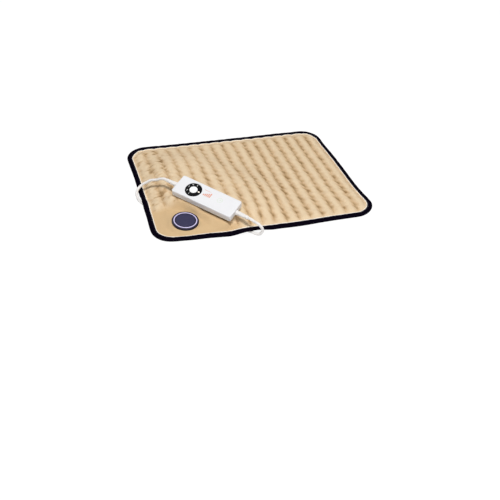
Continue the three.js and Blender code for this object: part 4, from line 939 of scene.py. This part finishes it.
def buildBinding(facts):
    stations = outlineAt(0, facts["spacing"])
    travel = np.arange(len(stations)) * facts["spacing"]
    uneven = lambda cell, seed: latticeNoise(travel, 0 * travel, cell, 1, seed)
    sag = uneven(7, 31) * 0.28 + uneven(2.8, 32) * 0.16
    width = uneven(9, 33) * 0.35
    sections = []
    for (place, out), dip, wide in zip(stations, sag, width):
        section = []
        for inset, height in facts["profile"]:
            share = min(1, max(0, (height - 0.8) / 3))
            shift = (wide + flapGrowth(place[1])) * max(0, (inset - 5) / 4) * (height > 3.5)
            depth = inset + shift + abs(dip) * 0.6 * (inset < 3)
            point = place - out * depth
            lift = float(liftAt(point[0], point[1]))
            level = squeezed(point[0], point[1], lift + height + dip * share * (inset < 8.9))
            section.append((point[0], point[1], float(level)))
        sections.append(section)
    points, faces = loft(sections, True)
    return addMesh("woven_edge_binding", relaxed(points), faces, tape, sharp=70, replaced=["edge_binding"],
                   slot="binding_tape")


def buildPiping(inset=9.7, radius=0.9):
    stations = outlineAt(inset, bindingFacts["spacing"])
    bulges = []
    for i, (place, out) in enumerate(stations):
        share, back = (place[0] - padFacts["firstSeam"]) / padFacts["pitch"], smooth(out[1] * 3 - 1.6)
        bulges.append(abs(math.sin(math.pi * share)) ** 0.6 * back)
        stations[i] = (place - out * (flapGrowth(place[1]) + (1 - bulges[-1]) * 1.9 * back), out)
    lineX, lineY = np.array([place for place, _ in stations]).T
    top = squeezed(lineX, lineY, coverHigh(lineX, lineY)[0]) + np.array(bulges) * 0.25
    sections = []
    for (place, out), height in zip(stations, top):
        section = []
        for angle in np.radians(np.arange(0, 360, 45)):
            shift = out * math.cos(angle) * radius
            section.append((*(place + shift), height + radius * (0.55 + math.sin(angle))))
        sections.append(section)
    points, faces = loft(sections, True)
    return addMesh("cover_piping", relaxed(points), faces, pipingSatin, sharp=80, slot="binding_tape")


binding = buildBinding(bindingFacts)
piping = buildPiping()
print("binding and piping swept")


# Stitches repeat, so Geometry Nodes sets one thread arch on each point
def stitchTree():
    tree = bpy.data.node_groups.new("stitches", "GeometryNodeTree")
    for name, kind in (("Geometry", "Geometry"), ("Stitch Length", "Float"), ("Thread Radius", "Float"),
                       ("Thread", "Material")):
        tree.interface.new_socket(name, in_out="INPUT", socket_type="NodeSocket" + kind)
    tree.interface.new_socket("Geometry", in_out="OUTPUT", socket_type="NodeSocketGeometry")
    start, end, ball, size, half, stretch, turn, onto, real, paint = (tree.nodes.new(kind) for kind in (
        "NodeGroupInput", "NodeGroupOutput", "GeometryNodeMeshUVSphere", "ShaderNodeCombineXYZ",
        "ShaderNodeMath", "GeometryNodeTransform", "GeometryNodeInputNamedAttribute", "GeometryNodeInstanceOnPoints",
        "GeometryNodeRealizeInstances", "GeometryNodeSetMaterial",
    ))
    half.operation = "MULTIPLY"
    turn.data_type = "FLOAT_VECTOR"
    for node, entry, value in ((ball, "Segments", 6), (ball, "Rings", 5), (ball, "Radius", 1), (half, 1, 0.5),
                               (turn, "Name", "turn")):
        node.inputs[entry].default_value = value
    for source, output, target, entry in (
        (start, "Stitch Length", half, 0), (half, 0, size, "X"), (start, "Thread Radius", size, "Y"),
        (start, "Thread Radius", size, "Z"), (ball, "Mesh", stretch, "Geometry"),
        (size, "Vector", stretch, "Scale"), (start, "Geometry", onto, "Points"),
        (stretch, "Geometry", onto, "Instance"), (turn, "Attribute", onto, "Rotation"),
        (onto, "Instances", real, "Geometry"), (real, "Geometry", paint, "Geometry"),
        (start, "Thread", paint, "Material"), (paint, "Geometry", end, "Geometry"),
    ):
        tree.links.new(source.outputs[output], target.inputs[entry])
    return tree


stitching = stitchTree()


def addStitches(name, places, turns, length, radius, thread, slot):
    mesh = newMesh(name, relaxed(places), [])
    attribute = mesh.attributes.new("turn", "FLOAT_VECTOR", "POINT")
    attribute.data.foreach_set("vector", np.asarray(turns, np.float32).ravel())
    holder = newObject("stitch_places", mesh)
    step = holder.modifiers.new("stitches", "NODES")
    step.node_group = stitching
    values = {"Stitch Length": length * mm, "Thread Radius": radius * mm, "Thread": thread}
    for item in stitching.interface.items_tree:
        if item.in_out == "INPUT" and item.name in values:
            step[item.identifier] = values[item.name]
    bpy.context.view_layer.update()
    result = evaluatedMesh(holder)
    bpy.data.objects.remove(holder)
    result.name = name
    tidy(result, 80)
    return placed(name, result, thread, root)


def seamStitches():
    places, turns = [], []
    for seam in range(padFacts["seams"]):
        x = padFacts["firstSeam"] + seam * padFacts["pitch"]
        for y in np.arange(-138, 138.1, 3.6):
            if float(insetAt(x, y)) > 12 and float(patchAt(x, y)) < 0.2:
                places.append((x, y))
    x, y = np.array(places).T
    z = coverHigh(x, y)[0]
    ahead = coverHigh(x, y + 1)[0]
    turns = np.column_stack([0 * x, -np.arctan(ahead - z), 0 * x + math.pi / 2])
    return np.column_stack([x, y, z + 0.1]), turns


def tapeStitches():
    stations = outlineAt(7.3, 3.2)
    x, y = np.array([place for place, _ in stations]).T
    angle = np.array([math.atan2(out[1], out[0]) + math.pi / 2 for _, out in stations])
    height = squeezed(x, y, liftAt(x, y) + 4.62)
    return np.column_stack([x, y, height]), np.column_stack([0 * x, 0 * x, angle])


addStitches("channel_stitches", *seamStitches(), 2.6, 0.32, seamThread, "cover_plush")
addStitches("binding_stitches", *tapeStitches(), 2.3, 0.26, tapeThread, "binding_tape")
print("stitches set")


# Controller: two moulded halves, built around the middle of the underside
handsetFacts = {
    "length": 118, "width": 40, "height": 19, "corner": 3, "topRound": 1.8, "split": 11, "bellyInset": 6.5,
    "bellyHeight": 7, "wall": 2, "ringOffset": -26.2, "ringRadius": 14.4, "keyGap": 0.45, "reliefBore": 3.9,
}
ringX = handsetFacts["ringOffset"]


def handsetSection(inset, z, corner=None):
    radius = max(handsetFacts["corner"] - inset * 0.6, 0.6) if corner is None else corner
    length, width = (handsetFacts[side] - 2 * inset for side in ("length", "width"))
    return atHeight(roundedRect(length, width, radius), z)


def rodX(radius, start, end, y, z, segments=48):
    points, faces = turned([(0, start), (radius, start), (radius, end), (0, end)], segments)
    points = alongX(points)
    return moved(points, 0, y, z), faces


def drum(radius, low, high, x=0.0, y=0.0, segments=48):
    points, faces = turned([(0, low), (radius, low), (radius, high), (0, high)], segments)
    return moved(points, x, y), faces


def reliefBores(facts):
    return [(*rodX(facts["reliefBore"], start, start + 20, 0, facts["split"]), "DIFFERENCE")
            for start in (-70, 50)]


def addShell(name, shape, node):
    flatShading(addMesh(name, *shape, whiteAbs, handsetPlace, 35, replaced=[node], slot="white_housing"))


def buildUpperShell(facts):
    low, top = facts["split"] + 0.15, facts["height"]
    edge = [handsetSection(facts["topRound"] * (1 - math.sin(a)), top - facts["topRound"] * (1 - math.cos(a)))
            for a in np.radians(np.linspace(90, 0, 9))]
    outside = loft([handsetSection(0.25, low), handsetSection(0, low + 0.3), *edge])
    inside = loft([handsetSection(2, low - 5, 1.2), handsetSection(2, top - 2, 1.2)])
    bore = facts["ringRadius"] + facts["keyGap"]
    mouth = turned([(0, top - 6), (bore, top - 6), (bore, top - 0.35), (bore + 0.35, top),
                    (bore + 0.6, top + 3), (0, top + 3)], 128)
    shape = carved(outside, (*inside, "DIFFERENCE"), (moved(mouth[0], ringX), mouth[1], "DIFFERENCE"),
                   *reliefBores(facts))
    addShell("controller_upper_half", shape, "handset_upper_shell")


def buildLowerShell(facts):
    high = facts["split"] - 0.15
    belly, rise = facts["bellyInset"], facts["bellyHeight"]
    outside = loft([handsetSection(*level) for level in (
        (belly + 1.2, 0, 2), (belly + 0.5, 0.15, 2.2), (belly, 0.6, 2.6), (belly * 0.55, 3.5), (0.75, 6.2),
        (0.2, 7), (0, 7.8), (0, high - 0.3), (0.25, high),
    )])
    inside = loft([handsetSection(inset, z, 1.2) for inset, z in ((belly + 1, 2), (2, rise), (2, high + 5))])
    cuts = [(*inside, "DIFFERENCE"), *reliefBores(facts)]
    # Each screw has a post, a counterbore from below and a bore
    for x in (-51, 51):
        for y in (-10, 10):
            cuts += [
                (*drum(2.9, 1, 10.85, x, y, 24), "UNION"), (*drum(2.6, -3, 2.4, x, y, 32), "DIFFERENCE"),
                (*drum(1.5, 0, 13, x, y, 16), "DIFFERENCE"),
            ]
    addShell("controller_lower_half", carved(outside, *cuts), "handset_lower_shell")


buildUpperShell(handsetFacts)
buildLowerShell(handsetFacts)

# Keys: a black ring that rocks, its lit window, and a white button in its middle
keyFacts = {"ringTop": 19.3, "ringLow": 15, "lipRadius": 15.9, "lipTop": 16, "bore": 7.6,
            "buttonRadius": 7.15, "buttonTop": 19.5, "windowAlong": 10.6}


def buildRing(facts):
    top, bore, outer = facts["ringTop"], facts["bore"], handsetFacts["ringRadius"]
    profile = [
        (bore, facts["ringLow"]), (facts["lipRadius"], facts["ringLow"]), (facts["lipRadius"], facts["lipTop"]),
        (outer, facts["lipTop"]), *arc((outer - 0.6, top - 0.6), 0.6, 0, 90),
        (12.8, top - 0.08), (11.1, top - 0.16), (9.6, top - 0.1), *arc((bore + 0.4, top - 0.4), 0.4, 90, 180),
    ]
    points, faces = turned(profile, 128, True)
    pocket = loft([atHeight(roundedRect(3.7, 2.5, 0.6, 5), z) for z in (top - 2.2, top + 2)])
    shape = carved((moved(points, ringX), faces),
                   (moved(pocket[0], ringX + facts["windowAlong"]), pocket[1], "DIFFERENCE"))
    flatShading(addMesh("level_ring_cap", *shape, blackAbs, handsetPlace, 35, "ring_key", ["level_ring"],
                        "black_keys"))
    outline = lambda grow, z: atHeight(roundedRect(3.2 - 2 * grow, 2 - 2 * grow, 0.5 - grow * 0.8, 5), z)
    lens = loft([outline(grow, top + rise) for grow, rise in ((0, -2), (0, -0.2), (0.12, 0.02), (0.4, 0.1))])
    addMesh("lit_window", moved(lens[0], ringX + facts["windowAlong"]), lens[1], lampLens, handsetPlace, 50,
            "ring_key", ["ring_window"], "lamp_lens")


def buildButton(facts):
    top, radius = facts["buttonTop"], facts["buttonRadius"]
    profile = [
        (0, 13.3), (2, 13.3), (2, 13.55), (8.15, 13.55), (8.15, 14.35), (radius, 14.35),
        *arc((radius - 0.7, top - 0.7), 0.7, 0, 90), (5.2, top - 0.1), (3, top - 0.2), (0, top - 0.24),
    ]
    points, faces = turned(profile, 96)
    return addMesh("centre_button_cap", moved(points, ringX), faces, whiteKey, handsetPlace, 35, "button_key",
                   ["centre_button"], "white_housing")


# Plain numerals round the ring, upright as seen from the controller's front
def numeralAt(number, size, place, rise=0.05):
    data = bpy.data.curves.new("numeral", "FONT")
    data.body = str(number)
    data.size = size * mm
    data.extrude = rise * mm
    data.align_x = data.align_y = "CENTER"
    data.resolution_u = 3
    holder = newObject("numeral", data)
    mesh = evaluatedMesh(holder)
    bpy.data.objects.remove(holder)
    points, faces = takenOut(mesh)
    return applied(Matrix.Translation(place), points), faces


def buildRingMarks():
    parts = []
    for number, angle in enumerate((256, 213, 170, 127, 84), 1):
        around = math.radians(angle)
        place = (ringX + 11 * math.cos(around), 11 * math.sin(around), keyFacts["ringTop"] - 0.1)
        parts.append(numeralAt(number, 4.3, place))
    points, faces = together(*parts)
    addMesh("ring_numerals", points, faces, whiteInk, handsetPlace, 35, "ring_key", slot="lamp_lens")


def bar(length, width, x, y, z=19.0, rise=0.06, corner=0.4):
    points, faces = loft([atHeight(roundedRect(length, width, min(corner, width / 2.1), 4), h)
                          for h in (z - 0.02, z + rise)])
    return moved(points, x, y), faces


def buildPrints():
    steps = [bar(1.9, 3.2 + 1.6 * i, -5.8 + 3 * i, -0.2 + 0.8 * i) for i in range(5)]
    addMesh("level_marks", *together(*steps), orangeInk, handsetPlace, 35, slot="black_keys")
    addMesh("rule_above_marks", *bar(12.6, 0.6, -3.2, 10), orangeInk, handsetPlace, 35, slot="black_keys")
    dial = turned([(4.2, 18.98), (4.75, 18.98), (4.75, 19.06), (4.2, 19.06)], 64, True)
    minute, its = bar(2.6, 0.6, 1.1, 0)
    hands = [bar(3.4, 0.6, 1.5, 0), (minute[:, [1, 0, 2]], [tuple(reversed(f)) for f in its])]
    points, faces = together(dial, *hands)
    addMesh("timer_mark", moved(points, 25.4, 2.7), faces, greenInk, handsetPlace, 35, slot="black_keys")


buildRing(keyFacts)
buildButton(keyFacts)
buildRingMarks()
buildPrints()
print("controller and keys built")


# Strain reliefs: moulded tapered sleeves with flex grooves
def reliefProfile(rootRadius, tip, length, start, ribs):
    profile = [(0, start), (rootRadius, start), (rootRadius, start + 1.6)]
    for k in range(ribs):
        a = start + 2.4 + (length - 6) * k / ribs
        step = (length - 6) / ribs
        for share, dip in ((0, 0), (0.18, 0.42), (0.5, 0.42), (0.68, 0)):
            z = a + step * share
            radius = rootRadius + (tip - rootRadius) * (z - start) / length
            profile.append((radius - dip, z))
    end = start + length
    return [*profile, (tip + 0.1, end - 1.2), (tip - 0.1, end - 0.3), (tip - 0.4, end), (0, end)]


def buildReliefs():
    for end, side in (("lead", -1), ("mains", 1)):
        sleeve = turned(reliefProfile(4.6, 3.1, 23.7, 59.3, 7), 48)
        neck = turned([(0, 55.2), (4.2, 55.2), (4.2, 56.7), (3.6, 56.7), (3.6, 59.8), (0, 59.8)], 48)
        points, faces = together(sleeve, neck)
        points = moved(alongX(points, side), 0, 0, 11)
        addMesh(f"{end}_strain_relief", points, faces, whitePvc, handsetPlace, 40, replaced=[f"{end}_relief"],
                slot="white_cord")


buildReliefs()


# Round connector in the pad's smooth corner
def buildConnector():
    cap = [
        (0, 0), (23, 0), (23, 2.3), *arc((21.9, 2.3), 1.1, 0, 90), (20.45, 3.4), (20.3, 3.3), (20.3, 2.0),
        (17.9, 2.0), (17.9, 3.3), (17.75, 3.4), (16.95, 3.4), (16.9, 3.3), (16.9, 1.9), (0, 1.9),
    ]
    points, faces = turned(cap, 128)
    barrel = turned([(0, -3.9), (16.5, -3.9), (16.5, 0.2), (0, 0.2)], 96)
    shape = carved((points, faces), (*barrel, "UNION"))
    addMesh("connector_dome", *shape, capAbs, connectorPlace, 35,
            replaced=["connector_cap"], slot="cap_plastic")
    trim = [(18.2, 2.25), (20.0, 2.25), *arc((19.55, 3.3), 0.45, 0, 90), *arc((18.65, 3.3), 0.45, 90, 180)]
    addMesh("lilac_trim", *turned(trim, 128, True), lilacAbs, connectorPlace, 50,
            replaced=["connector_trim_ring"], slot="lilac_ring")
    disc = [(0, 2.2), (16.6, 2.2), (16.6, 3.0), *arc((16.2, 3.0), 0.4, 0, 90, 4), (15.4, 3.42), (14.9, 3.3),
            (10, 3.34), (5, 3.37), (0, 3.38)]
    addMesh("slate_inlay", *turned(disc, 128), slateSoft, connectorPlace, 35,
            replaced=["connector_disc"], slot="slate_disc")


buildConnector()
print("connector built")


# Mains plug at the end of the coil, and the tie round the coil
plugYaw = math.atan2(plugDirection[1], plugDirection[0])
plugFrame = Matrix.Translation(Vector(plugPlace)) @ Matrix.Rotation(plugYaw, 4, "Z")


def buildPlug():
    sleeve = turned(reliefProfile(4.4, 3.0, 22, 0, 7), 48)
    points = alongX(sleeve[0])
    points[:, 0] = 22.3 - points[:, 0]
    return addMesh("plug_strain_relief", points, sleeve[1], whitePvc, plugFrame, 40,
                   replaced=["plug_relief"], slot="white_cord")


plugRelief = buildPlug()

tieFacts = {
    "angle": 130, "width": 6, "thickness": 0.6, "from": 17.2312, "to": 42.7688, "low": 0.9, "high": 12.0,
}


def buildTie(facts):
    centre = ((facts["from"] + facts["to"]) / 2, (facts["low"] + facts["high"]) / 2)
    size = (facts["to"] - facts["from"], facts["high"] - facts["low"])
    inner, outer = (roundedRect(size[0] + 2 * grow, size[1] + 2 * grow, 1.2 + grow)
                    for grow in (0, facts["thickness"]))
    width = facts["width"] / 2
    rounds = [(inner, -width), (outer, -width), (outer, width), (inner, width)]
    sections = [[(o[i][0] + centre[0], y, o[i][1] + centre[1]) for o, y in rounds] for i in range(len(inner))]
    points, faces = loft(sections, True)
    place = groupPlace(*cordFacts["centre"], 0, facts["angle"])
    return addMesh("hook_and_loop_tie", points, faces, blackNylon, place, 40, replaced=["coil_tie"],
                   slot="black_plastic")


tie = buildTie(tieFacts)
print("plug relief and tie built")


# Finishes of the CAD pieces that stay as they are
nodeFinish = (
    (steel, [f"{kind}_screw_{i}" for kind, count in (("connector", 2), ("clamp", 4), ("shell", 4))
             for i in range(1, count + 1)]),
    (componentEpoxy, ["thermal_limiter", "centre_switch", "ring_switch_1", "ring_switch_2", "triac",
                      "lead_terminal", "mains_terminal"]),
    (whitePvc, ["lead_plug_relief", "lead_tail", "mains_tail", "plug_body"]),
    (whiteAbs, ["lead_clamp", "mains_clamp"]), (brass, ["connector_contact_1", "connector_contact_2"]),
    (nickel, ["plug_pin_1", "plug_pin_2"]), (clearGlass, ["lamp", "fuse"]), (capAbs, ["connector_base"]),
    (blackNylon, ["lead_plug"]), (wireSleeve, ["heating_wire"]), (boardMask, ["circuit_board"]),
    (filmCase, ["capacitor"]),
)
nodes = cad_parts
for material, names in nodeFinish:
    for name in names:
        nodes[name].data.materials.clear()
        nodes[name].data.materials.append(material)


# Floor, backdrop, lamps and world
def lightPathShare(tree):
    rays = addNode(tree, "LightPath").outputs
    seen = calc(tree, "MAXIMUM", rays["Is Camera Ray"], rays["Is Glossy Ray"])
    return calc(tree, "MAXIMUM", seen, rays["Is Transmission Ray"])


def floorMaterial():
    material = bpy.data.materials.new("white_floor")
    tree = emptyTree(material)
    paper = addNode(tree, "BsdfDiffuse", {"Color": linear("f4f4f4")})
    glow = addNode(tree, "Emission", {"Color": (1, 1, 1, 1), "Strength": 1.1})
    lit = addNode(tree, "MixShader", {0: 0.86, 1: paper.outputs[0], 2: glow.outputs[0]})
    both = addNode(tree, "MixShader", {0: lightPathShare(tree), 1: paper.outputs[0], 2: lit.outputs[0]})
    addNode(tree, "OutputMaterial", {"Surface": both.outputs[0]})
    return material


def addStage():
    corners = [(4000 * x, 4000 * y, -0.4) for x, y in quarters]
    floor = newObject("floor", newMesh("floor", corners, [(2, 3, 0, 1)]))
    floor.data.materials.append(floorMaterial())
    scene.world = bpy.data.worlds.new("soft_box")
    tree = emptyTree(scene.world)
    sky, white = (addNode(tree, "Background", {"Color": (1, 1, 1, 1), "Strength": strength})
                  for strength in (0.3, 1.0))
    both = addNode(tree, "MixShader", {0: lightPathShare(tree), 1: sky.outputs[0], 2: white.outputs[0]})
    addNode(tree, "OutputWorld", {"Surface": both.outputs[0]})


def addLamp(name, place, aim, size, power):
    data = bpy.data.lights.new(name, "AREA")
    data.size = size
    data.energy = power
    lamp = newObject(name, data)
    lamp.location = place
    lamp.rotation_euler = (Vector(aim) - Vector(place)).to_track_quat("-Z", "Y").to_euler()


addStage()
addLamp("key_lamp", (-0.2, -0.8, 2.5), (0, 0, 0), 0.6, 47.5)
addLamp("front_fill", (0.5, -1.5, 1.2), (0, 0, 0), 1.4, 4)
scene.view_settings.view_transform = "Standard"
print("stage and lamps set")


def plain(box):
    return [[float(value) for value in corner] for corner in box]
